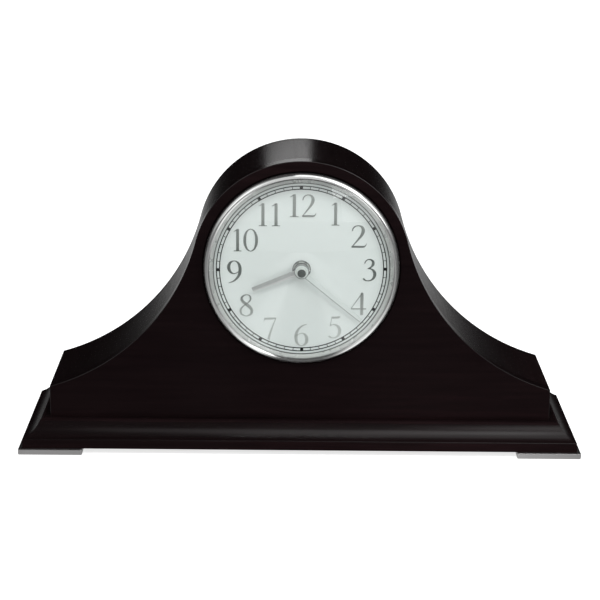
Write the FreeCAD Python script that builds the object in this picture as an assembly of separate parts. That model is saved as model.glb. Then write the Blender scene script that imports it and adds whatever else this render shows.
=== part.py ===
import FreeCAD, Part
import math
import os

# A tambour mantel clock: a hump-backed wooden case on an ogee-moulded plinth with metal feet,
# a round dial under domed glass, and a battery chime movement reached by a door in the back.
# Millimetres. X to the right, Y to the back, Z up. The origin is under the middle, on the table.

# Plinth and feet
overall_width = 450.0
foot_overhang = 3.2
foot_width = 51.0
foot_depth = 38.0
foot_height = 4.3
foot_corner_radius = 1.2
foot_edge_radius = 0.6
pad_proud = 0.5
pad_recess = 1.0
pad_margin = 7.0
plinth_thickness = 20.6
plinth_band_height = 8.0
plinth_band_round = 0.8
cove_radius = 20.0
cove_start_angle = 18.2
bead_radius = 3.2
plinth_reveal = 4.88
plinth_back_ledge = 4.5

# Case
overall_height = 236.0
case_border = 8.1
sweep_radius = 170.0
case_end_height = 24.9
case_depth = 95.0
panel_thickness = 12.0
skin_thickness = 6.0
back_thickness = 9.0
arris_radius = 0.9
glue_block_side = 18.0
glue_block_length = 46.0
glue_block_margin = 22.25

# Dial opening and bezel
rebate_gap = 0.9
rebate_depth = 3.0
rebate_round = 0.5
rebate_ledge = 12.3
bezel_width = 3.2
bezel_wall_top = 0.6
bezel_crest_proud = 5.2
bezel_roll_bulge = 0.55
bezel_lip_cover = 0.8
bezel_lip_width = 0.7
bezel_lip_edge = 0.3
bezel_screw_count = 4
bezel_screw_bite = 2.4

# Glass
glass_clearance = 0.2
glass_rim_width = 1.6
glass_sagitta = 15.0
glass_thickness = 2.0
retainer_width = 4.4
retainer_thickness = 1.2
retainer_lip = 0.3

# Dial
dial_visible_radius = 69.8
dial_edge = 1.7
dial_proud = 1.0
dial_thickness = 1.0
dial_clearance = 0.5
pan_margin = 0.5
pan_thickness = 1.0
pan_wall = 1.2
seal_thickness = 1.2
seal_radius = 11.0

# Hand fixing on the movement's threaded bush
bush_radius = 5.0
bush_hole_clearance = 0.15
bush_proud = 3.4
bush_washer_radius = 7.2
bush_washer_thickness = 0.6
bush_nut_flats = 12.0
bush_nut_thickness = 2.2

# Hands, at rest at about 8:22
minute_hand_angle = 130.5
hour_hand_angle = 248.2
hour_hand_length = 41.5
hour_hand_root = 5.0
hour_hand_tip = 3.3
hour_boss_radius = 5.6
hour_hand_height = 4.4
minute_hand_margin = 7.3
minute_hand_root = 4.4
minute_hand_tip = 2.9
minute_boss_radius = 5.8
minute_hand_height = 7.2
minute_hand_glass_gap = 0.84
hand_thickness = 0.8
hand_collar_wall = 1.0
hand_collar_length = 0.8
cap_radius = 3.3
cap_height = 5.0
cap_crown = 0.4
cap_collar_radius = 4.4
cap_collar_height = 1.2

# Arbors and motion work
running_clearance = 0.05
arbor_radius = 1.5
hour_tube_wall = 1.15
motion_module = 0.5
cannon_teeth = 12
motion_teeth = 36
motion_pinion_teeth = 10
hour_teeth = 40
pressure_angle = 25.0
addendum_share = 0.9
dedendum_share = 1.2
tooth_share = 0.44
hour_wheel_face = 2.2
hour_wheel_gap = 0.5
motion_wheel_face = 1.8
wheel_plane_gap = 0.8
pinion_overlap = 0.4
arbor_seat = 6.0

# Movement housing
movement_depth = 30.0
movement_wall = 2.0
movement_corner_radius = 7.0
cell_diameter = 26.2
cell_length = 50.0
cell_nub_radius = 3.3
cell_nub_height = 1.6
cell_clearance = 0.6
cell_spring_room = 7.5
contact_thickness = 0.5
contact_width = 12.0
train_box_half_width = 17.0
train_box_top = 11.0
train_box_floor_room = 9.0
train_box_side_room = 3.6
train_box_gap = 0.6
train_box_depth = 11.5
board_thickness = 1.6
board_margin = 0.8
pillar_radius = 2.4
pillar_inset = 3.2
post_radius = 3.2
cover_clearance = 0.15
cover_screw_inset = 3.7

# Controls behind the back door
set_knob_radius = 6.0
set_knob_length = 8.0
set_knob_flutes = 12
flute_radius = 0.9
knob_gap = 0.6
volume_knob_radius = 7.0
volume_knob_length = 5.0
volume_shaft_radius = 2.0
volume_x_share = -0.47
volume_z_share = 0.42
switch_x_share = 0.44
melody_z_share = 0.60
night_z_share = 0.28
slider_width = 3.0
slider_height = 4.0
slider_proud = 2.5
slider_foot_gap = 0.3
slider_clearance = 0.4
melody_travel = 4.0
night_travel = 5.0
button_radius = 2.6
button_proud = 2.4
button_travel = 1.5
button_x_share = 0.6
button_z_share = -0.5

# Stepping motor
coil_radius = 4.6
coil_length = 17.0
coil_flange = 1.0
core_width = 4.0
core_thickness = 1.5

# Back door
door_side_margin = 22.4
door_height = 96.0
door_drop = 4.0
door_thickness = 6.0
door_gap = 1.0
door_corner_radius = 3.0
knob_radius = 5.0
knob_neck_radius = 2.6
knob_proud = 6.4
knob_cap = 3.0
knob_inset = 12.0
hinge_spacing = 62.0
hinge_length = 24.0
hinge_leaf_width = 13.0
hinge_leaf_thickness = 1.0
hinge_knuckle_radius = 2.4
hinge_pin_radius = 1.1
hinge_clearance = 0.4
pin_head_radius = 1.9
pin_head_height = 1.2
catch_length = 30.0
catch_width = 9.0
catch_depth = 8.0
catch_overlap = 8.0
strike_thickness = 0.8
strike_margin = 2.0

# Speaker
speaker_radius = 28.5
speaker_floor_gap = 9.5
speaker_flange = 1.6
speaker_basket_depth = 13.0
speaker_basket_wall = 1.2
speaker_cone_wall = 0.6
speaker_throat_radius = 12.0
speaker_magnet_radius = 16.0
speaker_magnet_depth = 8.0
speaker_screw_count = 4
slot_count = 5
slot_pitch = 8.0
slot_width = 4.0
slot_reach_share = 0.78

# Speaker lead
lead_radius = 1.2
lead_bend_share = 0.45
lead_route_shares = [(0, 0.42, 0), (0.04, 0.8, 0.26), (0.13, 1, 0.64), (0.34, 1, 1)]
terminal_length = 5.0
terminal_width = 6.0
terminal_height = 5.0
clip_wall = 1.4
clip_length = 6.0
clip_clearance = 0.2
clip_share = 0.52
clip_end_gap = 5.0

# Wood screws
screw_head_radius = 3.2
screw_head_height = 2.2
screw_shank_radius = 1.6
foot_screw_bite = 10.0
case_screw_bite = 12.0
small_screw_head_radius = 2.1
small_screw_head_height = 1.3
small_screw_shank_radius = 1.0
small_screw_bite = 5.0

overrun = 2.0

# Levels and depths worked out from the sizes above
foot_top = pad_proud + foot_height
plinth_top = foot_top + plinth_thickness
plinth_half = overall_width / 2 - foot_overhang
band_top = foot_top + plinth_band_height
cove_centre_in = plinth_band_round - cove_radius * math.sin(math.radians(cove_start_angle))
cove_centre_z = band_top + cove_radius * math.cos(math.radians(cove_start_angle))
bead_centre_z = plinth_top - bead_radius
bead_centre_in = cove_centre_in + math.sqrt((cove_radius + bead_radius) ** 2
                                            - (cove_centre_z - bead_centre_z) ** 2)
plinth_margin = bead_centre_in + plinth_reveal
case_half = plinth_half - plinth_margin
plinth_depth = plinth_margin + case_depth + plinth_back_ledge
overall_depth = plinth_depth + 2 * foot_overhang
plinth_front = foot_overhang - overall_depth / 2
plinth_back = plinth_front + plinth_depth
case_front = plinth_front + plinth_margin
case_back = case_front + case_depth
inner_front = case_front + panel_thickness
inner_back = case_back - back_thickness

dial_radius = dial_visible_radius + dial_edge
pan_radius = dial_radius - pan_margin
glass_radius = dial_visible_radius + retainer_width
bezel_inner_radius = dial_radius + dial_clearance
bezel_lip_radius = glass_radius - bezel_lip_cover
bezel_crest_radius = bezel_lip_radius + bezel_lip_width
bezel_radius = glass_radius + bezel_width
rebate_radius = bezel_radius + rebate_gap
panel_hole_radius = rebate_radius - rebate_ledge
arch_radius = rebate_radius + case_border
arch_z = overall_height - arch_radius
case_end_z = plinth_top + case_end_height

rebate_floor = case_front + rebate_depth
dial_face = case_front - dial_proud
dial_back = dial_face + dial_thickness
pan_back = dial_back + pan_thickness
movement_front = pan_back + seal_thickness
movement_back = movement_front + movement_depth
glass_rim = dial_face - retainer_thickness
bush_front = dial_face - bush_proud

hour_tube_radius = arbor_radius + running_clearance + hour_tube_wall
bush_bore = hour_tube_radius + running_clearance
hour_hand_back = dial_face - hour_hand_height
hour_hand_front = hour_hand_back - hand_thickness
minute_hand_back = dial_face - minute_hand_height
minute_hand_front = minute_hand_back - hand_thickness

motion_distance = motion_module * (cannon_teeth + motion_teeth) / 2
hour_module = 2 * motion_distance / (motion_pinion_teeth + hour_teeth)
motion_z = arch_z - motion_distance
hour_wheel_front = movement_front + movement_wall + hour_wheel_gap
hour_wheel_back = hour_wheel_front + hour_wheel_face
motion_wheel_front = hour_wheel_back + wheel_plane_gap
motion_wheel_back = motion_wheel_front + motion_wheel_face
train_front = motion_wheel_back + train_box_gap
train_back = train_front + train_box_depth
board_back = train_back + board_thickness
cover_front = movement_back - movement_wall

middle_half = train_box_half_width + train_box_side_room
middle_half_height = (cell_length + contact_thickness + cell_spring_room) / 2
bay_inner = middle_half + movement_wall
bay_outer = bay_inner + cell_diameter + 2 * cell_clearance
bay_x = (bay_outer + bay_inner) / 2
movement_width = 2 * (bay_outer + movement_wall)
movement_height = 2 * (middle_half_height + movement_wall)
train_box_bottom = middle_half_height - train_box_floor_room

door_width = 2 * (arch_radius - skin_thickness - door_side_margin)
door_z = arch_z - door_drop
opening_half = door_width / 2 + door_gap
hinge_x = -door_width / 2 - door_gap / 2
hinge_y = case_back + hinge_knuckle_radius + hinge_clearance

glue_block_offset = (case_half - skin_thickness - glue_block_margin - glue_block_side
                     - glue_block_length / 2)
speaker_x = -(glue_block_offset + glue_block_side) / 2
speaker_z = plinth_top + speaker_floor_gap + speaker_radius


# Small helpers
def box(x0, x1, y0, y1, z0, z1):
    return Part.makeBox(x1 - x0, y1 - y0, z1 - z0, FreeCAD.Vector(x0, y0, z0))


def rod(x, z, radius, y0, y1):
    return Part.makeCylinder(radius, y1 - y0, FreeCAD.Vector(x, y0, z), FreeCAD.Vector(0, 1, 0))


def post(x, y, radius, z0, z1):
    return Part.makeCylinder(radius, z1 - z0, FreeCAD.Vector(x, y, z0))


def line(a, b):
    return Part.LineSegment(a, b).toShape()


def arc(a, b, c):
    return Part.Arc(a, b, c).toShape()


def loop(points):
    return Part.Face(Part.makePolygon(points + points[:1]))


def turned(x, z, outline):
    """Turn a closed outline of (radius, depth) points about the axis through x, z along Y.

    A point given as two pairs stands for an arc from the point before it: its middle and end.
    """
    def at(pair):
        return FreeCAD.Vector(x + pair[0], pair[1], z)

    edges = []
    last = at(outline[0])
    for step in outline[1:] + outline[:1]:
        if isinstance(step[0], tuple):
            edges.append(arc(last, at(step[0]), at(step[1])))
            last = at(step[1])
        else:
            edges.append(line(last, at(step)))
            last = at(step)
    face = Part.Face(Part.Wire(edges))
    return face.revolve(FreeCAD.Vector(x, 0, z), FreeCAD.Vector(0, 1, 0), 360)


def runs_along(edge, axis):
    return math.isclose(abs(edge.tangentAt(edge.FirstParameter).dot(axis)), 1)


def rounded_slab(x, z, width, height, y0, y1, radius):
    slab = box(x - width / 2, x + width / 2, y0, y1, z - height / 2, z + height / 2)
    corners = [e for e in slab.Edges if runs_along(e, FreeCAD.Vector(0, 1, 0))]
    return slab.makeFillet(radius, corners)


def screw(head_radius, head_height, shank_radius, length):
    """A countersunk screw with its head's flat at the origin and its shank along +Z."""
    head = Part.makeCone(head_radius, shank_radius, head_height)
    return head.fuse(Part.makeCylinder(shank_radius, length)).removeSplitter()


def placed(shape, x, y, z, axis=FreeCAD.Vector(0, 0, 1), angle=0):
    copy = shape.copy()
    copy.Placement = FreeCAD.Placement(FreeCAD.Vector(x, y, z), FreeCAD.Rotation(axis, angle))
    return copy


def group(shapes):
    return shapes[0] if len(shapes) == 1 else Part.makeCompound(shapes)


def crown(radius, rim, tip):
    """The round crown of a turned piece, from its rim to the tip on the axis."""
    height = abs(tip - rim)
    sphere = (radius ** 2 + height ** 2) / (2 * height)
    rise = math.copysign(sphere - math.sqrt(sphere ** 2 - (radius / 2) ** 2), tip - rim)
    return ((radius / 2, tip - rise), (0, tip))


# The case's hump-backed outline
def sweep_centre():
    """Centre of the hollow arc that leaves the arch smoothly and ends over the case's end."""
    reach = math.hypot(case_half, case_end_z - arch_z)
    total = arch_radius + sweep_radius
    along = (total ** 2 - sweep_radius ** 2 + reach ** 2) / (2 * reach)
    across = math.sqrt(total ** 2 - along ** 2)
    ux = case_half / reach
    uz = (case_end_z - arch_z) / reach
    return along * ux - across * uz, arch_z + along * uz + across * ux


def case_outline(inset, floor):
    """Face of the case's outline at y = 0, set in from the outside by inset, down to floor."""
    cx, cz = sweep_centre()
    arch = arch_radius - inset
    sweep = sweep_radius + inset
    half = case_half - inset
    share = arch_radius / (arch_radius + sweep_radius)
    slope = math.atan2(cz - arch_z, cx)
    join = (arch * math.cos(slope), arch_z + arch * math.sin(slope))
    end = (half, cz - math.sqrt(sweep ** 2 - (cx - half) ** 2))
    start_angle = math.atan2(join[1] - cz, join[0] - cx) % (2 * math.pi)
    end_angle = math.atan2(end[1] - cz, end[0] - cx) % (2 * math.pi)
    middle_angle = start_angle + (end_angle - start_angle) * share * 2
    middle = (cx + sweep * math.cos(middle_angle), cz + sweep * math.sin(middle_angle))

    def at(x, z):
        return FreeCAD.Vector(x, 0, z)

    edges = [
        arc(at(-join[0], join[1]), at(0, arch_z + arch), at(*join)),
        arc(at(*join), at(*middle), at(*end)),
        line(at(*end), at(half, floor)),
        line(at(half, floor), at(-half, floor)),
        line(at(-half, floor), at(-end[0], end[1])),
        arc(at(-end[0], end[1]), at(-middle[0], middle[1]), at(-join[0], join[1])),
    ]
    return Part.Face(Part.Wire(edges))


def case_slab(y0, y1, inset=0, floor=plinth_top):
    slab = case_outline(inset, floor).extrude(FreeCAD.Vector(0, y1 - y0, 0))
    slab.translate(FreeCAD.Vector(0, y0, 0))
    return slab


# Plinth
def moulding_edges(at):
    """Edges of the moulded side from the plinth's top, out and down to its foot.

    A bead rolls over from the top into a cove, which runs out on the band's rounded edge.
    """
    reach_in = bead_centre_in - cove_centre_in
    reach_z = bead_centre_z - cove_centre_z
    share = cove_radius / (cove_radius + bead_radius)
    join = (cove_centre_in + reach_in * share, cove_centre_z + reach_z * share)
    join_angle = math.atan2(-reach_z, reach_in)
    start_angle = math.radians(90 - cove_start_angle)
    middle = (join_angle + start_angle) / 2
    cove_middle = (cove_centre_in + cove_radius * math.cos(middle),
                   cove_centre_z - cove_radius * math.sin(middle))
    turn = math.pi / 2 + (math.pi / 2 - join_angle) / 2
    bead_middle = (bead_centre_in + bead_radius * math.cos(turn),
                   bead_centre_z + bead_radius * math.sin(turn))
    corner = plinth_band_round * (1 - 1 / math.sqrt(2))
    return [
        arc(at(bead_centre_in, plinth_top), at(*bead_middle), at(*join)),
        arc(at(*join), at(*cove_middle), at(plinth_band_round, band_top)),
        arc(at(plinth_band_round, band_top), at(corner, band_top - corner),
            at(0, band_top - plinth_band_round)),
        line(at(0, band_top - plinth_band_round), at(0, foot_top)),
    ]


def make_plinth():
    def front(d, z):
        return FreeCAD.Vector(-plinth_half, plinth_front + d, z)

    def left(d, z):
        return FreeCAD.Vector(-plinth_half + d, plinth_front, z)

    def right(d, z):
        return FreeCAD.Vector(plinth_half - d, plinth_front, z)

    front_wire = moulding_edges(front) + [
        line(front(0, foot_top), front(plinth_depth, foot_top)),
        line(front(plinth_depth, foot_top), front(plinth_depth, plinth_top)),
        line(front(plinth_depth, plinth_top), front(bead_centre_in, plinth_top)),
    ]
    side_wire = moulding_edges(left) + moulding_edges(right) + [
        line(left(0, foot_top), right(0, foot_top)),
        line(left(bead_centre_in, plinth_top), right(bead_centre_in, plinth_top)),
    ]
    long_bar = Part.Face(Part.Wire(Part.__sortEdges__(front_wire)))
    long_bar = long_bar.extrude(FreeCAD.Vector(2 * plinth_half, 0, 0))
    deep_bar = Part.Face(Part.Wire(Part.__sortEdges__(side_wire)))
    deep_bar = deep_bar.extrude(FreeCAD.Vector(0, plinth_depth, 0))
    board = long_bar.common(deep_bar)
    for tool in foot_screw_solids() + case_screw_solids():
        board = board.cut(tool)
    return board


# Feet
def foot_places():
    x = overall_width / 2 - foot_width / 2
    front = plinth_front - foot_overhang + foot_depth / 2
    back = plinth_back + foot_overhang - foot_depth / 2
    return {
        "front_left_foot": (-x, front),
        "front_right_foot": (x, front),
        "rear_left_foot": (-x, back),
        "rear_right_foot": (x, back),
    }


def pad_at(x, y):
    half_w = foot_width / 2 - pad_margin
    half_d = foot_depth / 2 - pad_margin
    return box(x - half_w, x + half_w, y - half_d, y + half_d, 0, pad_proud + pad_recess)


def foot_screw_solids():
    tool = screw(screw_head_radius, screw_head_height, screw_shank_radius,
                 foot_height - pad_recess + foot_screw_bite)
    spread = foot_width / 2 - pad_margin - 2 * screw_head_radius
    return [placed(tool, x + side * spread, y, pad_proud + pad_recess)
            for x, y in foot_places().values() for side in (-1, 1)]


def make_foot(x, y):
    block = box(x - foot_width / 2, x + foot_width / 2, y - foot_depth / 2, y + foot_depth / 2,
                pad_proud, foot_top)
    uprights = [e for e in block.Edges if runs_along(e, FreeCAD.Vector(0, 0, 1))]
    block = block.makeFillet(foot_corner_radius, uprights)
    lower = [e for e in block.Edges if e.BoundBox.ZMax < pad_proud + foot_edge_radius]
    block = block.makeChamfer(foot_edge_radius, lower)
    block = block.cut(pad_at(x, y))
    for tool in foot_screw_solids():
        block = block.cut(tool)
    return block


# Case boards
def make_front_panel():
    panel = case_slab(case_front, inner_front)
    rim = [e for e in panel.Edges
           if e.BoundBox.YMax < case_front + overrun and e.BoundBox.ZMax > plinth_top + overrun]
    panel = panel.makeFillet(arris_radius, rim)
    panel = panel.cut(rod(0, arch_z, panel_hole_radius, case_front - overrun, inner_front + overrun))
    panel = panel.cut(rod(0, arch_z, rebate_radius, case_front - overrun, rebate_floor))
    panel = panel.makeFillet(rebate_round, [e for e in panel.Edges if is_rebate_mouth(e)])
    for tool in bezel_screw_solids():
        panel = panel.cut(tool)
    return panel


def is_rebate_mouth(edge):
    if edge.Curve.TypeId != "Part::GeomCircle":
        return False
    in_front = abs(edge.Curve.Center.y - case_front) < rebate_round
    return in_front and abs(edge.Curve.Radius - rebate_radius) < rebate_round


def make_top_wrap():
    outer = case_slab(inner_front, inner_back)
    return outer.cut(case_slab(inner_front - overrun, inner_back + overrun, skin_thickness,
                               plinth_top - overrun))


def make_back_panel():
    panel = case_slab(inner_back, case_back)
    opening = rounded_slab(0, door_z, 2 * opening_half, door_height + 2 * door_gap,
                           inner_back - overrun, case_back + overrun, door_corner_radius + door_gap)
    panel = panel.cut(opening)
    for tool in sound_slots():
        panel = panel.cut(tool)
    for tool in speaker_screw_solids():
        panel = panel.cut(tool)
    return panel


def sound_slots():
    """Rounded slots over the speaker's cone, shorter towards the top and the bottom."""
    slots = []
    reach = slot_reach_share * speaker_radius
    for index in range(slot_count):
        offset = (index - (slot_count - 1) / 2) * slot_pitch
        half = math.sqrt(max(reach ** 2 - offset ** 2, slot_width ** 2))
        z = speaker_z + offset
        slot = box(speaker_x - half, speaker_x + half, inner_back - overrun, case_back + overrun,
                   z - slot_width / 2, z + slot_width / 2)
        for side in (-1, 1):
            slot = slot.fuse(rod(speaker_x + side * half, z, slot_width / 2,
                                 inner_back - overrun, case_back + overrun))
        slots.append(slot.removeSplitter())
    return slots


def glue_block_places():
    front = inner_front + glue_block_side / 2
    back = inner_back - glue_block_side / 2
    return [(-glue_block_offset, front), (0, front), (glue_block_offset, front),
            (-glue_block_offset - glue_block_side, back), (0, back), (glue_block_offset, back)]


def case_screw_solids():
    tool = screw(screw_head_radius, screw_head_height, screw_shank_radius,
                 plinth_thickness + case_screw_bite)
    return [placed(tool, x, y, foot_top) for x, y in glue_block_places()]


def make_glue_blocks():
    blocks = []
    half = glue_block_side / 2
    for x, y in glue_block_places():
        block = box(x - glue_block_length / 2, x + glue_block_length / 2, y - half, y + half,
                    plinth_top, plinth_top + glue_block_side)
        for tool in case_screw_solids():
            block = block.cut(tool)
        blocks.append(block)
    return group(blocks)


# Bezel, glass and dial
def glass_inner_radius():
    rim = glass_radius - glass_rim_width
    return (rim ** 2 + glass_sagitta ** 2) / (2 * glass_sagitta)


def glass_surface(radius, grow):
    """Depth of the dome's surface at a radius: grow is 0 inside and the thickness outside."""
    sphere = glass_inner_radius()
    centre = glass_rim + sphere - glass_sagitta
    return centre - math.sqrt((sphere + grow) ** 2 - radius ** 2)


def make_crystal():
    rim = glass_radius - glass_rim_width
    half = glass_radius / 2
    return turned(0, arch_z, [
        (0, glass_surface(0, 0)),
        ((half, glass_surface(half, 0)), (rim, glass_rim)),
        (glass_radius, glass_rim),
        (glass_radius, glass_surface(glass_radius, glass_thickness)),
        ((half, glass_surface(half, glass_thickness)), (0, glass_surface(0, glass_thickness))),
    ])


def make_bezel():
    crest = case_front - bezel_crest_proud
    wall_top = case_front - bezel_wall_top
    seat = glass_radius + glass_clearance
    lip_back = glass_surface(bezel_lip_radius, glass_thickness) - glass_clearance
    seat_front = glass_surface(glass_radius, glass_thickness) - glass_clearance
    roll = ((bezel_radius + bezel_crest_radius) / 2 + bezel_roll_bulge,
            (wall_top + crest) / 2 - bezel_roll_bulge)
    ring = turned(0, arch_z, [
        (bezel_inner_radius, rebate_floor),
        (bezel_radius, rebate_floor),
        (bezel_radius, wall_top),
        (roll, (bezel_crest_radius, crest)),
        (bezel_lip_radius, crest + bezel_lip_edge),
        (bezel_lip_radius, lip_back),
        (seat, seat_front),
        (seat, dial_face),
        (bezel_inner_radius, dial_face),
    ])
    for tool in bezel_screw_solids():
        ring = ring.cut(tool)
    return ring


def bezel_screw_solids():
    """Screws from the back of the front panel into the bezel's flange."""
    reach = inner_front - rebate_floor + bezel_screw_bite
    tool = screw(small_screw_head_radius, small_screw_head_height, small_screw_shank_radius, reach)
    circle = (bezel_inner_radius + bezel_radius) / 2
    solids = []
    for index in range(bezel_screw_count):
        angle = 2 * math.pi * (index + 1 / 2) / bezel_screw_count
        solids.append(placed(tool, circle * math.cos(angle), inner_front,
                             arch_z + circle * math.sin(angle), FreeCAD.Vector(1, 0, 0), 90))
    return solids


def make_retainer():
    rim = glass_radius - glass_rim_width
    return turned(0, arch_z, [
        (dial_visible_radius, dial_face),
        (glass_radius, dial_face),
        (glass_radius, glass_rim),
        (rim, glass_rim),
        (dial_visible_radius, dial_face - retainer_lip),
    ])


def make_dial_plate():
    plate = rod(0, arch_z, dial_radius, dial_face, dial_back)
    return plate.cut(rod(0, arch_z, bush_radius + bush_hole_clearance,
                         dial_face - overrun, dial_back + overrun))


def make_dial_pan():
    hole = bush_radius + bush_hole_clearance
    return turned(0, arch_z, [
        (hole, dial_back),
        (pan_radius, dial_back),
        (pan_radius, rebate_floor),
        (pan_radius - pan_wall, rebate_floor),
        (pan_radius - pan_wall, pan_back),
        (hole, pan_back),
    ])


def make_seal():
    seal = rod(0, arch_z, seal_radius, pan_back, movement_front)
    return seal.cut(rod(0, arch_z, bush_radius + bush_hole_clearance,
                        pan_back - overrun, movement_front + overrun))


def make_bush_washer():
    washer = rod(0, arch_z, bush_washer_radius, dial_face - bush_washer_thickness, dial_face)
    return washer.cut(rod(0, arch_z, bush_radius + bush_hole_clearance,
                          dial_face - bush_washer_thickness - overrun, dial_face + overrun))


def make_bush_nut():
    back = dial_face - bush_washer_thickness
    corner = bush_nut_flats / math.sqrt(3)
    points = [FreeCAD.Vector(corner * math.cos(math.pi * k / 3), back,
                             arch_z + corner * math.sin(math.pi * k / 3)) for k in range(6)]
    nut = loop(points).extrude(FreeCAD.Vector(0, -bush_nut_thickness, 0))
    return nut.cut(rod(0, arch_z, bush_radius, back - bush_nut_thickness - overrun, back + overrun))


# Hands
def pointed(shape, angle):
    """Turn a hand that was built pointing at twelve to its place on the dial."""
    shape.rotate(FreeCAD.Vector(0, 0, arch_z), FreeCAD.Vector(0, 1, 0), angle)
    return shape


def baton(length, root, tip, y0, y1):
    points = [FreeCAD.Vector(-root / 2, y0, arch_z), FreeCAD.Vector(root / 2, y0, arch_z),
              FreeCAD.Vector(tip / 2, y0, arch_z + length), FreeCAD.Vector(-tip / 2, y0, arch_z + length)]
    return loop(points).extrude(FreeCAD.Vector(0, y1 - y0, 0))


def make_hour_hand():
    bore = hour_tube_radius
    blade = baton(hour_hand_length, hour_hand_root, hour_hand_tip, hour_hand_front, hour_hand_back)
    hand = blade.fuse(rod(0, arch_z, hour_boss_radius, hour_hand_front, hour_hand_back))
    hand = hand.fuse(rod(0, arch_z, bore + hand_collar_wall, hour_hand_back,
                         hour_hand_back + hand_collar_length))
    hand = hand.cut(rod(0, arch_z, bore, hour_hand_front - overrun,
                        hour_hand_back + hand_collar_length + overrun))
    return pointed(hand.removeSplitter(), hour_hand_angle)


def make_minute_hand():
    """A tapered blade, flat at the hub and curved down towards the dial at its tip."""
    length = dial_visible_radius - minute_hand_margin
    run = length - minute_boss_radius
    drop = glass_surface(length, 0) + minute_hand_glass_gap - minute_hand_front
    bend = (run ** 2 + drop ** 2) / (2 * drop)
    start = arch_z + minute_boss_radius
    centre = minute_hand_front + bend

    def curved(z, radius):
        return centre - math.sqrt(radius ** 2 - (z - start) ** 2)

    tip = start + run + overrun
    half = start + run / 2
    inner = bend - hand_thickness
    low = arch_z - minute_boss_radius - overrun
    x = -minute_boss_radius - overrun
    strip = Part.Face(Part.Wire([
        line(FreeCAD.Vector(x, minute_hand_front, low), FreeCAD.Vector(x, minute_hand_front, start)),
        arc(FreeCAD.Vector(x, minute_hand_front, start), FreeCAD.Vector(x, curved(half, bend), half),
            FreeCAD.Vector(x, curved(tip, bend), tip)),
        line(FreeCAD.Vector(x, curved(tip, bend), tip), FreeCAD.Vector(x, curved(tip, inner), tip)),
        arc(FreeCAD.Vector(x, curved(tip, inner), tip), FreeCAD.Vector(x, curved(half, inner), half),
            FreeCAD.Vector(x, minute_hand_back, start)),
        line(FreeCAD.Vector(x, minute_hand_back, start), FreeCAD.Vector(x, minute_hand_back, low)),
        line(FreeCAD.Vector(x, minute_hand_back, low), FreeCAD.Vector(x, minute_hand_front, low)),
    ])).extrude(FreeCAD.Vector(-2 * x, 0, 0))
    blade = baton(length, minute_hand_root, minute_hand_tip, minute_hand_front - overrun, dial_face)
    blade = blade.fuse(rod(0, arch_z, minute_boss_radius, minute_hand_front - overrun, dial_face))
    hand = blade.common(strip)
    hand = hand.fuse(rod(0, arch_z, arbor_radius + hand_collar_wall, minute_hand_back,
                         minute_hand_back + hand_collar_length))
    hand = hand.cut(rod(0, arch_z, arbor_radius, minute_hand_front - overrun,
                        minute_hand_back + hand_collar_length + overrun))
    return pointed(hand.removeSplitter(), minute_hand_angle)


def make_hand_cap():
    """The tall nut on the hands: a collar below and a nearly flat crown in front."""
    back = minute_hand_front
    tip = back - cap_height
    collar = back - cap_collar_height
    cap = turned(0, arch_z, [(0, back), (cap_collar_radius, back), (cap_collar_radius, collar),
                             (cap_radius, collar), (cap_radius, tip + cap_crown),
                             crown(cap_radius, tip + cap_crown, tip)])
    return cap.cut(rod(0, arch_z, arbor_radius, arbor_tip(), back + overrun))


def arbor_tip():
    return minute_hand_front - cap_height / 2


# Toothed wheels
def gear(module, teeth, x, z, y0, y1, facing):
    """A spur wheel along Y with a tooth, or with facing -1 a gap, towards its mate below it.

    Each flank is one arc through the involute's start, middle and end.
    """
    pitch = module * teeth / 2
    base = pitch * math.cos(math.radians(pressure_angle))
    tip = pitch + module * addendum_share
    root = pitch - module * dedendum_share
    low = max(base, root)

    def involute(radius):
        angle = math.acos(min(base / radius, 1))
        return math.tan(angle) - angle

    at_pitch = math.pi * tooth_share / teeth + involute(pitch)
    first = 0 if facing > 0 else math.pi / teeth
    direction = -math.pi / 2

    def point(radius, angle):
        return FreeCAD.Vector(x + radius * math.cos(angle), y0, z + radius * math.sin(angle))

    edges = []
    for index in range(teeth):
        centre = direction + first + 2 * math.pi * index / teeth
        after = centre + 2 * math.pi / teeth
        wide = at_pitch - involute(low)
        half = at_pitch - involute((low + tip) / 2)
        narrow = at_pitch - involute(tip)
        middle = (low + tip) / 2
        if root < low:
            edges.append(line(point(root, centre - wide), point(low, centre - wide)))
        edges.append(arc(point(low, centre - wide), point(middle, centre - half),
                         point(tip, centre - narrow)))
        edges.append(line(point(tip, centre - narrow), point(tip, centre + narrow)))
        edges.append(arc(point(tip, centre + narrow), point(middle, centre + half),
                         point(low, centre + wide)))
        if root < low:
            edges.append(line(point(low, centre + wide), point(root, centre + wide)))
        edges.append(line(point(root, centre + wide), point(root, after - wide)))
    return Part.Face(Part.Wire(edges)).extrude(FreeCAD.Vector(0, y1 - y0, 0))


def make_centre_arbor():
    """The minute arbor with its cannon pinion, from the train box to the hands."""
    pinion = gear(motion_module, cannon_teeth, 0, arch_z, motion_wheel_front - pinion_overlap,
                  motion_wheel_back, 1)
    shaft = rod(0, arch_z, arbor_radius, arbor_tip(), train_front + arbor_seat)
    return shaft.fuse(pinion).removeSplitter()


def make_hour_wheel():
    wheel = gear(hour_module, hour_teeth, 0, arch_z, hour_wheel_front, hour_wheel_back, 1)
    tube = rod(0, arch_z, hour_tube_radius, hour_hand_front, hour_wheel_back)
    wheel = wheel.fuse(tube)
    wheel = wheel.cut(rod(0, arch_z, arbor_radius + running_clearance,
                          hour_hand_front - overrun, hour_wheel_back + overrun))
    return wheel.removeSplitter()


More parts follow.
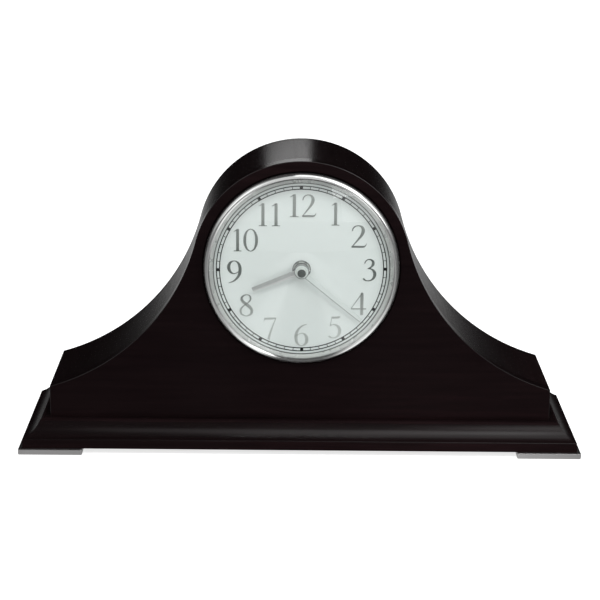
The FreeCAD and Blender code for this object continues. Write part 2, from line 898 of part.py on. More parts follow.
def make_motion_wheel():
    """Motion wheel and pinion on the arbor that comes out behind to carry the set knob."""
    wheel = gear(motion_module, motion_teeth, 0, motion_z, motion_wheel_front, motion_wheel_back, -1)
    pinion = gear(hour_module, motion_pinion_teeth, 0, motion_z, hour_wheel_front,
                  motion_wheel_front, -1)
    shaft = rod(0, motion_z, arbor_radius, movement_front + movement_wall / 2,
                movement_back + knob_gap + set_knob_length / 2)
    return wheel.fuse(pinion).fuse(shaft).removeSplitter()


def make_set_knob():
    y0 = movement_back + knob_gap
    y1 = y0 + set_knob_length
    knob = rod(0, motion_z, set_knob_radius, y0, y1)
    for index in range(set_knob_flutes):
        angle = 2 * math.pi * index / set_knob_flutes
        knob = knob.cut(rod(set_knob_radius * math.cos(angle),
                            motion_z + set_knob_radius * math.sin(angle), flute_radius,
                            y0 - overrun, y1 + overrun))
    return knob.cut(rod(0, motion_z, arbor_radius, y0 - overrun, y0 + set_knob_length / 2))


# Movement
def control_at(x_share, z_share):
    return x_share * middle_half, arch_z + z_share * middle_half_height


def cover_posts():
    inset = cover_screw_inset
    return [(sx * (middle_half - inset), arch_z + sz * (middle_half_height - inset))
            for sx in (-1, 1) for sz in (-1, 1)]


def train_pillars():
    """Pillars that carry the train box clear of the motion work."""
    x = train_box_half_width - pillar_inset
    return [(side * x, z) for side in (-1, 1)
            for z in (arch_z + train_box_top - pillar_inset,
                      arch_z - train_box_bottom + pillar_inset)]


def make_movement_housing():
    shell = rounded_slab(0, arch_z, movement_width, movement_height, movement_front, movement_back,
                         movement_corner_radius)
    floor = movement_front + movement_wall
    top = arch_z + middle_half_height
    bottom = arch_z - middle_half_height
    for side in (-1, 1):
        edges = sorted((side * bay_inner, side * bay_outer))
        bay = box(edges[0], edges[1], floor, movement_back + overrun, bottom, top)
        shell = shell.cut(bay)
    shell = shell.cut(box(-middle_half, middle_half, floor, movement_back + overrun, bottom, top))
    for x, z in cover_posts():
        shell = shell.fuse(rod(x, z, post_radius, floor, cover_front))
    for x, z in train_pillars():
        shell = shell.fuse(rod(x, z, pillar_radius, floor, train_front))
    shell = shell.fuse(rod(0, arch_z, bush_radius, bush_front, movement_front))
    shell = shell.cut(rod(0, arch_z, bush_bore, bush_front - overrun, floor + overrun))
    shell = shell.cut(rod(0, motion_z, arbor_radius + running_clearance,
                          movement_front + movement_wall / 2, floor + overrun))
    for tool in cover_screw_solids():
        shell = shell.cut(tool)
    return shell.removeSplitter()


def cover_screw_solids():
    tool = screw(small_screw_head_radius, small_screw_head_height, small_screw_shank_radius,
                 movement_wall + small_screw_bite)
    return [placed(tool, x, movement_back, z, FreeCAD.Vector(1, 0, 0), 90) for x, z in cover_posts()]


def make_movement_cover():
    half = middle_half - cover_clearance
    tall = middle_half_height - cover_clearance
    y0 = cover_front - overrun
    y1 = movement_back + overrun
    cover = box(-half, half, cover_front, movement_back, arch_z - tall, arch_z + tall)
    cover = cover.cut(rod(0, motion_z, arbor_radius + running_clearance, y0, y1))
    x, z = control_at(volume_x_share, volume_z_share)
    cover = cover.cut(rod(x, z, volume_shaft_radius + running_clearance, y0, y1))
    x, z = control_at(button_x_share, button_z_share)
    cover = cover.cut(rod(x, z, button_radius + running_clearance, y0, y1))
    for z_share, low, high in ((melody_z_share, -melody_travel, melody_travel),
                               (night_z_share, 0, night_travel)):
        x, z = control_at(switch_x_share, z_share)
        reach = slider_width / 2 + slider_clearance
        tall = slider_height / 2 + slider_clearance
        cover = cover.cut(box(x + low - reach, x + high + reach, y0, y1, z - tall, z + tall))
    cover = cover.cut(rod(lead_start().x, lead_start().z, lead_radius, y0, y1))
    for tool in cover_screw_solids():
        cover = cover.cut(tool)
    return cover


def make_train_box():
    """The sealed block that holds the reduction train, with bores for the two arbors."""
    block = box(-train_box_half_width, train_box_half_width, train_front, train_back,
                arch_z - train_box_bottom, arch_z + train_box_top)
    block = block.cut(rod(0, arch_z, arbor_radius + running_clearance, train_front - overrun,
                          train_front + arbor_seat + running_clearance))
    return block.cut(rod(0, motion_z, arbor_radius + running_clearance, train_front - overrun,
                         train_back + overrun))


def make_circuit_board():
    """The board on the train box's back, with the bodies of its switches and volume control."""
    half = middle_half - board_margin
    tall = middle_half_height - board_margin
    board = box(-half, half, train_back, board_back, arch_z - tall, arch_z + tall)
    notch = post_radius + board_margin
    for x, z in cover_posts():
        board = board.cut(box(x - notch, x + notch, train_back - overrun, board_back + overrun,
                              z - notch, z + notch))
    board = board.cut(rod(0, motion_z, arbor_radius + board_margin, train_back - overrun,
                          board_back + overrun))
    body_back = cover_front - slider_foot_gap
    x, z = control_at(volume_x_share, volume_z_share)
    well = rod(x, z, volume_shaft_radius + running_clearance, board_back, body_back + overrun)
    board = board.fuse(rod(x, z, volume_knob_radius - overrun, board_back, body_back).cut(well))
    for z_share in (melody_z_share, night_z_share):
        x, z = control_at(switch_x_share, z_share)
        board = board.fuse(box(x - slider_width * 2, x + slider_width * 2, board_back,
                               switch_seat(), z - slider_height / 2, z + slider_height / 2))
    x, z = control_at(button_x_share, button_z_share)
    return board.fuse(rod(x, z, button_radius, board_back, button_seat())).removeSplitter()


def switch_seat():
    return board_back + (cover_front - board_back) / 3


def button_seat():
    return board_back + (cover_front - board_back) / 4


def make_slider(z_share):
    x, z = control_at(switch_x_share, z_share)
    return box(x - slider_width / 2, x + slider_width / 2, switch_seat(), movement_back + slider_proud,
               z - slider_height / 2, z + slider_height / 2)


def make_volume_knob():
    x, z = control_at(volume_x_share, volume_z_share)
    y0 = movement_back + knob_gap
    knob = rod(x, z, volume_knob_radius, y0, y0 + volume_knob_length)
    for index in range(set_knob_flutes):
        angle = 2 * math.pi * index / set_knob_flutes
        knob = knob.cut(rod(x + volume_knob_radius * math.cos(angle),
                            z + volume_knob_radius * math.sin(angle), flute_radius,
                            y0 - overrun, y0 + volume_knob_length + overrun))
    return knob.fuse(rod(x, z, volume_shaft_radius, board_back, y0)).removeSplitter()


def make_demo_button():
    x, z = control_at(button_x_share, button_z_share)
    return rod(x, z, button_radius, button_seat() + button_travel + slider_foot_gap,
               movement_back + button_proud)


def make_coil():
    """Bobbin and winding of the stepping motor, lying across the top of the train box."""
    z = arch_z + train_box_top + core_thickness + coil_radius
    y = (train_front + train_back) / 2
    axis = FreeCAD.Vector(1, 0, 0)
    start = FreeCAD.Vector(-coil_length / 2, y, z)
    coil = Part.makeCylinder(coil_radius - coil_flange, coil_length, start, axis)
    for x in (-coil_length / 2, coil_length / 2 - coil_flange):
        coil = coil.fuse(Part.makeCylinder(coil_radius, coil_flange, FreeCAD.Vector(x, y, z), axis))
    return coil.cut(core_bar()).removeSplitter()


def core_bar():
    z = arch_z + train_box_top + core_thickness + coil_radius
    y = (train_front + train_back) / 2
    reach = coil_length / 2 + core_width
    return box(-reach, reach, y - core_width / 2, y + core_width / 2,
               z - core_thickness / 2, z + core_thickness / 2)


def make_core():
    """The laminated core through the coil, with both legs down to the train box."""
    core = core_bar()
    y = (train_front + train_back) / 2
    reach = coil_length / 2 + core_width
    for side in (-1, 1):
        edges = sorted((side * reach, side * (reach - core_width + coil_flange)))
        core = core.fuse(box(edges[0], edges[1], y - core_width / 2, y + core_width / 2,
                             arch_z + train_box_top,
                             arch_z + train_box_top + core_thickness + coil_radius))
    return core.removeSplitter()


# Cells and contacts
def make_cell(side):
    """A cell standing in its bay: the left one with its nub up, the right one upside down."""
    y = movement_front + movement_wall + cell_clearance + cell_diameter / 2
    top = arch_z + middle_half_height - contact_thickness
    can = post(side * bay_x, y, cell_diameter / 2, top - cell_length, top - cell_nub_height)
    cell = can.fuse(post(side * bay_x, y, cell_nub_radius, top - cell_nub_height, top))
    if side > 0:
        cell.rotate(FreeCAD.Vector(0, y, arch_z), FreeCAD.Vector(0, 1, 0), 180)
        cell.translate(FreeCAD.Vector(2 * side * bay_x, 0, 0))
    return cell.removeSplitter()


def contact_strip(side, z0, z1):
    y = movement_front + movement_wall + cell_clearance + cell_diameter / 2
    half = contact_width / 2
    return box(side * bay_x - half, side * bay_x + half, y - half, y + half, z0, z1)


def make_contact_plates():
    top = arch_z + middle_half_height
    bottom = arch_z - middle_half_height
    return group([contact_strip(-1, top - contact_thickness, top),
                  contact_strip(1, bottom, bottom + contact_thickness)])


def make_contact_springs():
    """Bowed leaf springs between each cell's flat end and the bay's end wall."""
    y = movement_front + movement_wall + cell_clearance + cell_diameter / 2
    half = contact_width / 2
    springs = []
    for side in (-1, 1):
        wall = arch_z + side * middle_half_height
        up = -side
        height = cell_spring_room - contact_thickness - running_clearance
        bow = (half ** 2 + height ** 2) / (2 * height)
        centre = FreeCAD.Vector(side * bay_x - half, y, wall + up * (contact_thickness + height - bow))
        ring = Part.makeCylinder(bow, contact_width, centre, FreeCAD.Vector(1, 0, 0))
        ring = ring.cut(Part.makeCylinder(bow - contact_thickness, contact_width, centre,
                                          FreeCAD.Vector(1, 0, 0)))
        ends = sorted((wall + up * contact_thickness, wall + up * (cell_spring_room + overrun)))
        bowed = ring.common(box(side * bay_x - half, side * bay_x + half, y - half, y + half,
                                ends[0], ends[1]))
        base = sorted((wall, wall + up * contact_thickness))
        springs.append(bowed.fuse(contact_strip(side, base[0], base[1])).removeSplitter())
    return group(springs)


# Back door
def make_door_panel():
    door = rounded_slab(0, door_z, door_width, door_height, case_back - door_thickness, case_back,
                        door_corner_radius)
    return door.cut(rod(door_width / 2 - knob_inset, door_z, knob_neck_radius / 2,
                        case_back - door_thickness / 2, case_back + overrun))


def make_door_knob():
    """A small turned knob with a spigot in the door."""
    neck_end = case_back + knob_proud - knob_cap
    tip = case_back + knob_proud
    return turned(door_width / 2 - knob_inset, door_z, [
        (0, case_back - door_thickness / 2),
        (knob_neck_radius / 2, case_back - door_thickness / 2),
        (knob_neck_radius / 2, case_back),
        (knob_neck_radius, case_back),
        (knob_neck_radius, neck_end),
        (knob_radius, neck_end + knob_cap / 3),
        crown(knob_radius, neck_end + knob_cap / 3, tip),
    ])


def hinge_spans():
    """Height spans of each hinge's knuckles: the outer two on the case, the middle on the door."""
    spans = []
    for side in (-1, 1):
        low = door_z + side * hinge_spacing / 2 - hinge_length / 2
        third = hinge_length / 3
        spans.append([(low, low + third - hinge_clearance / 2),
                      (low + third + hinge_clearance / 2, low + 2 * third - hinge_clearance / 2),
                      (low + 2 * third + hinge_clearance / 2, low + hinge_length)])
    return spans


def make_hinge_leaves(side, wanted):
    """Leaves on one side of the pins: side -1 on the case, 1 on the door."""
    leaves = []
    reach = hinge_knuckle_radius + hinge_clearance
    for spans in hinge_spans():
        low = spans[0][0]
        high = spans[2][1]
        far = hinge_x + side * (hinge_leaf_width + reach)
        near = hinge_x + side * reach
        x0, x1 = sorted((near, far))
        leaf = box(x0, x1, case_back, case_back + hinge_leaf_thickness, low, high)
        for index in wanted:
            z0, z1 = spans[index]
            leaf = leaf.fuse(post(hinge_x, hinge_y, hinge_knuckle_radius, z0, z1))
            x0, x1 = sorted((hinge_x + side * door_gap / 2, near))
            tongue = box(x0, x1, case_back, case_back + hinge_leaf_thickness, z0, z1)
            leaf = leaf.fuse(tongue)
            leaf = leaf.fuse(hinge_web(side, z0, z1))
        leaf = leaf.cut(post(hinge_x, hinge_y, hinge_pin_radius + running_clearance,
                             low - overrun, high + overrun))
        leaves.append(leaf.removeSplitter())
    return group(leaves)


def hinge_web(side, z0, z1):
    """The rolled part that joins a flat leaf to its knuckle."""
    x0, x1 = sorted((hinge_x + side * hinge_pin_radius * 3 / 2, hinge_x + side * hinge_knuckle_radius))
    return box(x0, x1, case_back + hinge_leaf_thickness / 2, hinge_y, z0, z1)


def make_hinge_pins():
    pins = []
    for spans in hinge_spans():
        low = spans[0][0]
        high = spans[2][1]
        pin = post(hinge_x, hinge_y, hinge_pin_radius, low, high)
        pins.append(pin.fuse(post(hinge_x, hinge_y, pin_head_radius, high, high + pin_head_height)))
    return group([pin.removeSplitter() for pin in pins])


def make_magnet_catch():
    """A magnet block on the back panel's inner face, reaching behind the door's free edge."""
    block_back = case_back - door_thickness - strike_thickness
    x0 = door_width / 2 - catch_overlap
    x1 = opening_half + catch_width
    catch = box(x0, x1, inner_back - catch_depth, inner_back, door_z - catch_length / 2,
                door_z + catch_length / 2)
    step = box(x0, opening_half, inner_back - overrun, block_back, door_z - catch_length / 2,
               door_z + catch_length / 2)
    return catch.fuse(step).removeSplitter()


def make_strike():
    y1 = case_back - door_thickness
    return box(door_width / 2 - catch_overlap - strike_margin, door_width / 2 - strike_margin,
               y1 - strike_thickness, y1, door_z - catch_length / 2, door_z + catch_length / 2)


# Speaker and its lead
def make_speaker_frame():
    flange = inner_back - speaker_flange
    back = flange - speaker_basket_depth
    rim = speaker_radius - speaker_screw_inset()
    frame = turned(speaker_x, speaker_z, [
        (rim - speaker_basket_wall, inner_back),
        (speaker_radius, inner_back),
        (speaker_radius, flange),
        (rim, flange),
        (speaker_throat_radius + speaker_basket_wall, back),
        (0, back),
        (0, back + speaker_basket_wall),
        (speaker_throat_radius, back + speaker_basket_wall),
        (rim - speaker_basket_wall, flange),
    ])
    x, y, z = lead_end()
    frame = frame.fuse(box(x - terminal_length, x, y - terminal_height / 2, flange,
                           z - terminal_width / 2, z + terminal_width / 2))
    for tool in speaker_screw_solids():
        frame = frame.cut(tool)
    return frame.removeSplitter()


def speaker_screw_inset():
    return 2 * small_screw_head_radius


def make_speaker_cone():
    flange = inner_back - speaker_flange
    back = flange - speaker_basket_depth + speaker_basket_wall
    rim = speaker_radius - speaker_screw_inset() - speaker_basket_wall
    throat = speaker_throat_radius / 2
    return turned(speaker_x, speaker_z, [
        (throat, back),
        (throat + speaker_cone_wall, back),
        (rim, flange),
        (rim, flange + speaker_cone_wall),
        (rim - speaker_cone_wall, flange + speaker_cone_wall),
        (throat, back + 2 * speaker_cone_wall),
        (0, back + 2 * speaker_cone_wall + overrun),
        (0, back + speaker_cone_wall + overrun),
        (throat - speaker_cone_wall, back + speaker_cone_wall),
        (throat - speaker_cone_wall, back),
    ])


def make_speaker_magnet():
    back = inner_back - speaker_flange - speaker_basket_depth
    return rod(speaker_x, speaker_z, speaker_magnet_radius, back - speaker_magnet_depth, back)


def speaker_screw_solids():
    tool = screw(small_screw_head_radius, small_screw_head_height, small_screw_shank_radius,
                 speaker_flange + small_screw_bite)
    circle = speaker_radius - small_screw_head_radius
    solids = []
    for index in range(speaker_screw_count):
        angle = 2 * math.pi * (index + 1 / 2) / speaker_screw_count
        solids.append(placed(tool, speaker_x + circle * math.cos(angle), inner_back - speaker_flange,
                             speaker_z + circle * math.sin(angle), FreeCAD.Vector(1, 0, 0), -90))
    return solids


def lead_start():
    x, z = control_at(button_z_share, -button_x_share)
    return FreeCAD.Vector(x, cover_front, z - post_radius)


def lead_end():
    """The face of the speaker's terminal block, on the side towards the movement."""
    return FreeCAD.Vector(speaker_x + speaker_radius, inner_back - speaker_flange - terminal_height / 2,
                          speaker_z)


def lead_route():
    start = lead_start()
    step = lead_end() - start
    middle = [start + FreeCAD.Vector(step.x * a, step.y * b, step.z * c) for a, b, c in lead_route_shares]
    return [start] + middle + [lead_end()]


def make_speaker_lead():
    """A round lead along straight runs joined by tangent arcs."""
    route = lead_route()
    edges = []
    radii = []
    last = route[0]
    for before, corner, after in zip(route, route[1:], route[2:]):
        back = before - corner
        ahead = after - corner
        reach = lead_bend_share * min(back.Length, ahead.Length)
        half_turn = (math.pi - back.getAngle(ahead)) / 2
        radius = reach / math.tan(half_turn)
        radii.append(round(radius, 1))
        back.normalize()
        ahead.normalize()
        inward = (back + ahead).normalize()
        enter = corner + back * reach
        leave = corner + ahead * reach
        middle = corner + inward * (radius / math.cos(half_turn) - radius)
        edges.append(line(last, enter))
        edges.append(arc(enter, middle, leave))
        last = leave
    edges.append(line(last, route[-1]))
    path = Part.Wire(edges)
    ring = Part.makeCircle(lead_radius, route[0], route[1] - route[0])
    lead = path.makePipeShell([Part.Wire(ring)], True, False)
    print("lead radii", radii, "length", round(path.Length, 1),
          "volume ratio", round(lead.Volume / (math.pi * lead_radius ** 2 * path.Length), 5))
    return lead


def make_cable_clips():
    """Saddles on the back panel's inner face that hold the lead."""
    route = lead_route()
    outer = lead_radius + clip_wall
    clips = []
    down = route[-2] - route[-3]
    last = route[-1] - route[-2]
    places = [(route[-3] + down * clip_share, down),
              (route[-1] - last * (clip_end_gap / last.Length), last)]
    for place, along in places:
        start = FreeCAD.Vector(-clip_length / 2, 0, 0)
        clip = Part.makeCylinder(outer, clip_length, start, FreeCAD.Vector(1, 0, 0))
        clip = clip.fuse(box(-clip_length / 2, clip_length / 2, 0, inner_back - place.y, -outer, outer))
        start = FreeCAD.Vector(-clip_length / 2 - overrun, 0, 0)
        clip = clip.cut(Part.makeCylinder(lead_radius + clip_clearance, clip_length + 2 * overrun, start,
                                          FreeCAD.Vector(1, 0, 0)))
        slope = math.degrees(math.atan2(-along.z, along.x))
        clips.append(placed(clip.removeSplitter(), *place, FreeCAD.Vector(0, 1, 0), slope))
    return group(clips)


PARTS = {
    "plinth": make_plinth,
    "front_panel": make_front_panel,
    "top_wrap": make_top_wrap,
    "back_panel": make_back_panel,
    "glue_blocks": make_glue_blocks,
    "case_screws": lambda: group(case_screw_solids()),
    "foot_pads": lambda: group([pad_at(x, y) for x, y in foot_places().values()]),
    "foot_screws": lambda: group(foot_screw_solids()),
    "bezel_ring": make_bezel,
    "bezel_screws": lambda: group(bezel_screw_solids()),
    "crystal_glass": make_crystal,
    "glass_retainer": make_retainer,
    "dial_plate": make_dial_plate,
    "dial_pan": make_dial_pan,
    "movement_seal": make_seal,
    "bush_washer": make_bush_washer,
    "bush_nut": make_bush_nut,
    "hour_hand": make_hour_hand,
    "minute_hand": make_minute_hand,
    "hand_cap": make_hand_cap,
    "centre_arbor": make_centre_arbor,
    "hour_wheel": make_hour_wheel,
    "motion_wheel": make_motion_wheel,
    "set_knob": make_set_knob,
    "movement_housing": make_movement_housing,
    "movement_cover": make_movement_cover,
    "cover_screws": lambda: group(cover_screw_solids()),
    "train_box": make_train_box,
    "circuit_board": make_circuit_board,
    "motor_coil": make_coil,
    "motor_core": make_core,
    "left_cell": lambda: make_cell(-1),
    "right_cell": lambda: make_cell(1),
    "contact_plates": make_contact_plates,
    "contact_springs": make_contact_springs,
    "volume_knob": make_volume_knob,
    "melody_switch": lambda: make_slider(melody_z_share),
    "night_switch": lambda: make_slider(night_z_share),
    "demo_button": make_demo_button,
    "door_panel": make_door_panel,
    "door_knob": make_door_knob,
    "hinge_case_leaves": lambda: make_hinge_leaves(-1, (0, 2)),
    "hinge_door_leaves": lambda: make_hinge_leaves(1, (1,)),
    "hinge_pins": make_hinge_pins,
    "magnet_catch": make_magnet_catch,
    "strike_plate": make_strike,
    "speaker_frame": make_speaker_frame,
    "speaker_cone": make_speaker_cone,
    "speaker_magnet": make_speaker_magnet,
    "speaker_screws": lambda: group(speaker_screw_solids()),
    "speaker_lead": make_speaker_lead,
    "cable_clips": make_cable_clips,
}

os.makedirs("parts", exist_ok=True)
for name, maker in PARTS.items():
    shape = maker()
    print(name, len(shape.Solids), round(shape.Volume, 1), shape.isValid())
    shape.exportStep("parts/" + name + ".step")
for name, place in foot_places().items():
    foot = make_foot(*place)
    print(name, len(foot.Solids), round(foot.Volume, 1), foot.isValid())
    foot.exportStep("parts/" + name + ".step")
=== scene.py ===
import math

import bmesh
import bpy
from mathutils import Matrix, Vector


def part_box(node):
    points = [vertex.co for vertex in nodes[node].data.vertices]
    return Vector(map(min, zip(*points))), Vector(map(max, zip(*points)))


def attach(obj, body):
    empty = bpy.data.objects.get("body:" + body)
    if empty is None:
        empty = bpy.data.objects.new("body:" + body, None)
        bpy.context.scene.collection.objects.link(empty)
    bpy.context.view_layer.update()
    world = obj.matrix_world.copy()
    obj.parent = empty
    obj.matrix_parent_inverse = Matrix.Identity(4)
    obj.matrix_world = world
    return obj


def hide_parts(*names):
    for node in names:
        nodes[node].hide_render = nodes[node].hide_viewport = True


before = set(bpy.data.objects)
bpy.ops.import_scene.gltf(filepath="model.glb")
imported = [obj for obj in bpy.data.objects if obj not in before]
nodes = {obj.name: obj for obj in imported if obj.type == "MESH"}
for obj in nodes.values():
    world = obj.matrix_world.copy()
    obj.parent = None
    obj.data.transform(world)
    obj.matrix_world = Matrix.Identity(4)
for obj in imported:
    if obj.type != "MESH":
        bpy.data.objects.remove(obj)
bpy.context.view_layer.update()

MM = 0.001

# Places read from the frame
plinth_low, plinth_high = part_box("plinth")
panel_low, panel_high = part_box("front_panel")
bezel_low, bezel_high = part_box("bezel_ring")
back_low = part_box("back_panel")[0]
dial_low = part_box("dial_plate")[0]
cap_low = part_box("hand_cap")[0]

plinth_top = plinth_high.z
plinth_half = plinth_high.x
case_half = panel_high.x
case_front = panel_low.y
inner_front = panel_high.y
inner_back = back_low.y
dial_z = (bezel_low.z + bezel_high.z) / 2
dial_face = dial_low.y

# The case's outline
ARCH_RADIUS = 86.4 * MM
SWEEP_RADIUS = 170.0 * MM
CASE_END_HEIGHT = 24.9 * MM
SKIN = 6.0 * MM
ARRIS = 0.4 * MM
ARRIS_STEPS = 5
ARCH_STEPS = 56
SWEEP_STEPS = 64

# The plinth's moulding
FOOT_TOP = plinth_low.z
BAND_TOP = FOOT_TOP + 8.0 * MM
BAND_ROUND = 0.8 * MM
BAND_STEPS = 6
COVE_RADIUS = 20.0 * MM
COVE_START = math.radians(18.2)
COVE_STEPS = 28
BEAD_RADIUS = 3.2 * MM
BEAD_STEPS = 12
PLINTH_ARRIS = 0.25 * MM
PLINTH_ARRIS_STEPS = 3

# The plinth's materials after the first, and how far sideways an end's faces look
PLINTH_FACE = 1
PLINTH_END = 2
END_FACE_LEAN = 0.2

# The feet
FOOT_CORNER_ROUND = 1.2 * MM
FOOT_CORNER_STEPS = 5
FOOT_RIM_ROUND = 0.35 * MM
FOOT_RIM_STEPS = 3
ROUND_PROFILE = 0.5

# Bezel, glass and dial
REBATE_RADIUS = 78.3 * MM
REBATE_DEPTH = 3.0 * MM
REBATE_ROUND = 0.5 * MM
HOLE_RADIUS = 66.0 * MM
BEZEL_RADIUS = 77.4 * MM
BEZEL_WALL_TOP = 0.6 * MM
# The outer wall's dark band is painted shadow of the gap in the rebate.
BEZEL_PAINTED_SHADOW_BAND = 0.15 * MM
BEZEL_CREST_RADIUS = 73.9 * MM
BEZEL_STEPS = 12
BEZEL_LIP_RADIUS = 73.4 * MM
BEZEL_LIP_DROP = 0.3 * MM
BEZEL_LIP_FOOT_RADIUS = 72.7 * MM
BEZEL_INNER_RADIUS = 72.0 * MM
GLASS_RADIUS = 74.2 * MM
GLASS_RIM_WIDTH = 1.6 * MM
GLASS_SAGITTA = 15.0 * MM
GLASS_THICKNESS = 2.0 * MM
GLASS_STEPS = 28
GLASS_GAP = 0.2 * MM
GLASS_INNER_RADIUS = GLASS_RADIUS - GLASS_RIM_WIDTH
GLASS_SPHERE_RADIUS = (GLASS_INNER_RADIUS ** 2 + GLASS_SAGITTA ** 2) / (2 * GLASS_SAGITTA)
RETAINER_THICKNESS = 1.2 * MM
GLASS_RIM_Y = dial_face - RETAINER_THICKNESS
RETAINER_LIP = 0.3 * MM
RETAINER_CURVE = 1.5
RETAINER_STEPS = 8
DIAL_VISIBLE_RADIUS = 69.8 * MM
ROUND_STEPS = 192
RING_STEPS = 256

# The dial's painted shade under the bezel: its middle, right and down from the dial's, and its stops
PAINTED_SHADE_RIGHT_MM = -1.0
PAINTED_SHADE_DOWN_MM = 5.0
PAINTED_SHADE_STOPS_MM = [(56.0, 1.0), (62.0, 0.95), (65.0, 0.86), (68.0, 0.74), (71.0, 0.60)]

# Dial print
DIAL_TURN = math.radians(-0.7)
TRACK_OUTER = 66.9 * MM
TRACK_INNER = 64.4 * MM
TRACK_LINE = 0.80 * MM
TRACK_STEPS = 360
TICK_WIDTH = 0.50 * MM
MINUTES = 60
MINUTES_PER_HOUR_MARK = 5
# The dark ring at the dial's edge is painted shadow of the gap under the retainer.
EDGE_SHADOW_RADIUS = 69.3 * MM
EDGE_SHADOW_WIDTH = 0.8 * MM
PRINT_HEIGHT = 0.04 * MM
TICK_PROUD = PRINT_HEIGHT / 4
SQUARE_WIDTH = 2.5 * MM
NUMERAL_HEIGHT = 18.3 * MM
NUMERAL_THICKNESS = 0.3 * MM
NUMERAL_BEVEL = 0.12 * MM
STROKE_STEPS = 8
LEAST_HALF_SHARE = 0.004
STROKE_TOP_SHARE = 0.25

# Each numeral's centre, right and up from the dial's centre, and its width
NUMERALS_MM = {
    1: (26.06, 44.84, 6.3), 2: (44.82, 27.06, 11.9), 3: (53.51, -0.06, 10.7),
    4: (45.24, -27.59, 12.0), 5: (26.87, -47.25, 10.2), 6: (0.48, -53.78, 11.1),
    7: (-24.52, -48.73, 10.2), 8: (-43.26, -29.73, 10.8), 9: (-52.75, -2.37, 11.4),
    10: (-43.86, 23.31, 19.0), 11: (-25.49, 43.87, 16.65), 12: (0.74, 51.33, 20.6),
}

# The minute hand's painted shade, a dark line along its edge and a dark rim round its eye, in millimetres
# from its axis
BLADE_TAPER = 0.012
EYE_OUTER_MM = 5.8
EYE_RIM_MM = 5.5
EYE_RIM_HALF_MM = 0.3
RIM_LEVEL = 9.0
LINE_SOFTNESS_MM = 0.1

# Edges sharper than these stay sharp, in degrees
CASE_SHARP_ANGLE = 32.0
RING_SHARP_ANGLE = 28.0
NUMERAL_SHARP_ANGLE = 25.0

# Points nearer to each other than this are welded, in metres
WELD_DISTANCE = 1e-7

# Colours of the lacquered wood by its pattern, and how much of the pattern is cloud
CLOUD_SHARE = 0.6
WOOD_TONES = (
    (0.32, (0.0034, 0.0019, 0.0022)), (0.52, (0.0056, 0.0031, 0.0034)), (0.70, (0.0098, 0.0046, 0.0052)),
)

# Colours of the numerals' silver by the height on the dial, a painted reflection: light at the foot, dark
# at mid height
FOIL_PAINTED_REFLECTION_TONES = (
    (0.12, (0.50, 0.52, 0.51)), (0.20, (0.46, 0.48, 0.47)), (0.33, (0.27, 0.285, 0.275)),
    (0.48, (0.12, 0.135, 0.127)), (0.62, (0.15, 0.165, 0.158)), (0.88, (0.29, 0.305, 0.295)),
)

# Where a noise pattern's low and high values lie
NOISE_LOW = 0.3
NOISE_HIGH = 0.7

# Texture scales, in waves per metre
GRAIN_ALONG = 14.0
GRAIN_ACROSS = 260.0
CLOUD_ALONG = 1.6
CLOUD_ACROSS = 9.0
SOFTWOOD_SCALE = (12.0, 220.0, 220.0)
METAL_SCALE = (90.0, 90.0, 90.0)
CLOUD_SCALE = (22.0, 22.0, 22.0)
FOIL_SCALE = (900.0, 900.0, 900.0)
GLASS_SCALE = (40.0, 40.0, 40.0)

# Sockets of the Mix node, by its data type
MIX_FACTOR = 0
MIX_FLOATS = (2, 3)
MIX_COLOURS = (6, 7)
MIX_FLOAT_OUT = 0
MIX_COLOUR_OUT = 2

# Camera, fitted to the photograph
CAMERA_PLACE = Vector((-10.06, -1440.5, 523.28)) * MM
CAMERA_YAW = math.radians(0.372)
CAMERA_PITCH = math.radians(15.903)
CAMERA_ROLL = math.radians(0.616)
CAMERA_LENS = 110.25
CAMERA_SENSOR = 36.0
CAMERA_CLIP = (0.05, 50.0)

# The room and the floor
WHITE = (1.0, 1.0, 1.0, 1.0)
ROOM_LIGHT = (0.63, 0.63, 0.63, 1.0)
FLOOR_TONE = (0.80, 0.80, 0.80, 1.0)
FLOOR_LIFT = 0.74
FLOOR_DROP = 0.02 * MM
FLOOR_CORNERS = ((-5.0, -3.0), (5.0, -3.0), (5.0, 8.0), (-5.0, 8.0))

# What mirrors see of the room: an axis of the ray, the two ends of a ramp and its grey stops.
# X is taken without its sign.
ROOM_GLOWS = {
    "height": ("Z", 0.0, 1.0, [
        (0.0, 0.12), (0.13, 0.30), (0.30, 0.60), (0.50, 0.85), (0.70, 0.90), (0.85, 0.60), (1.0, 0.45)]),
    "depth": ("Y", -1.0, 1.0, [(-0.30, 1.0), (0.10, 0.50), (0.45, 0.16), (0.80, 0.03), (0.90, 0.010)]),
    "width": ("X", 0.0, 1.0, [(0.0, 0.05), (0.30, 0.06), (0.55, 1.0)]),
}

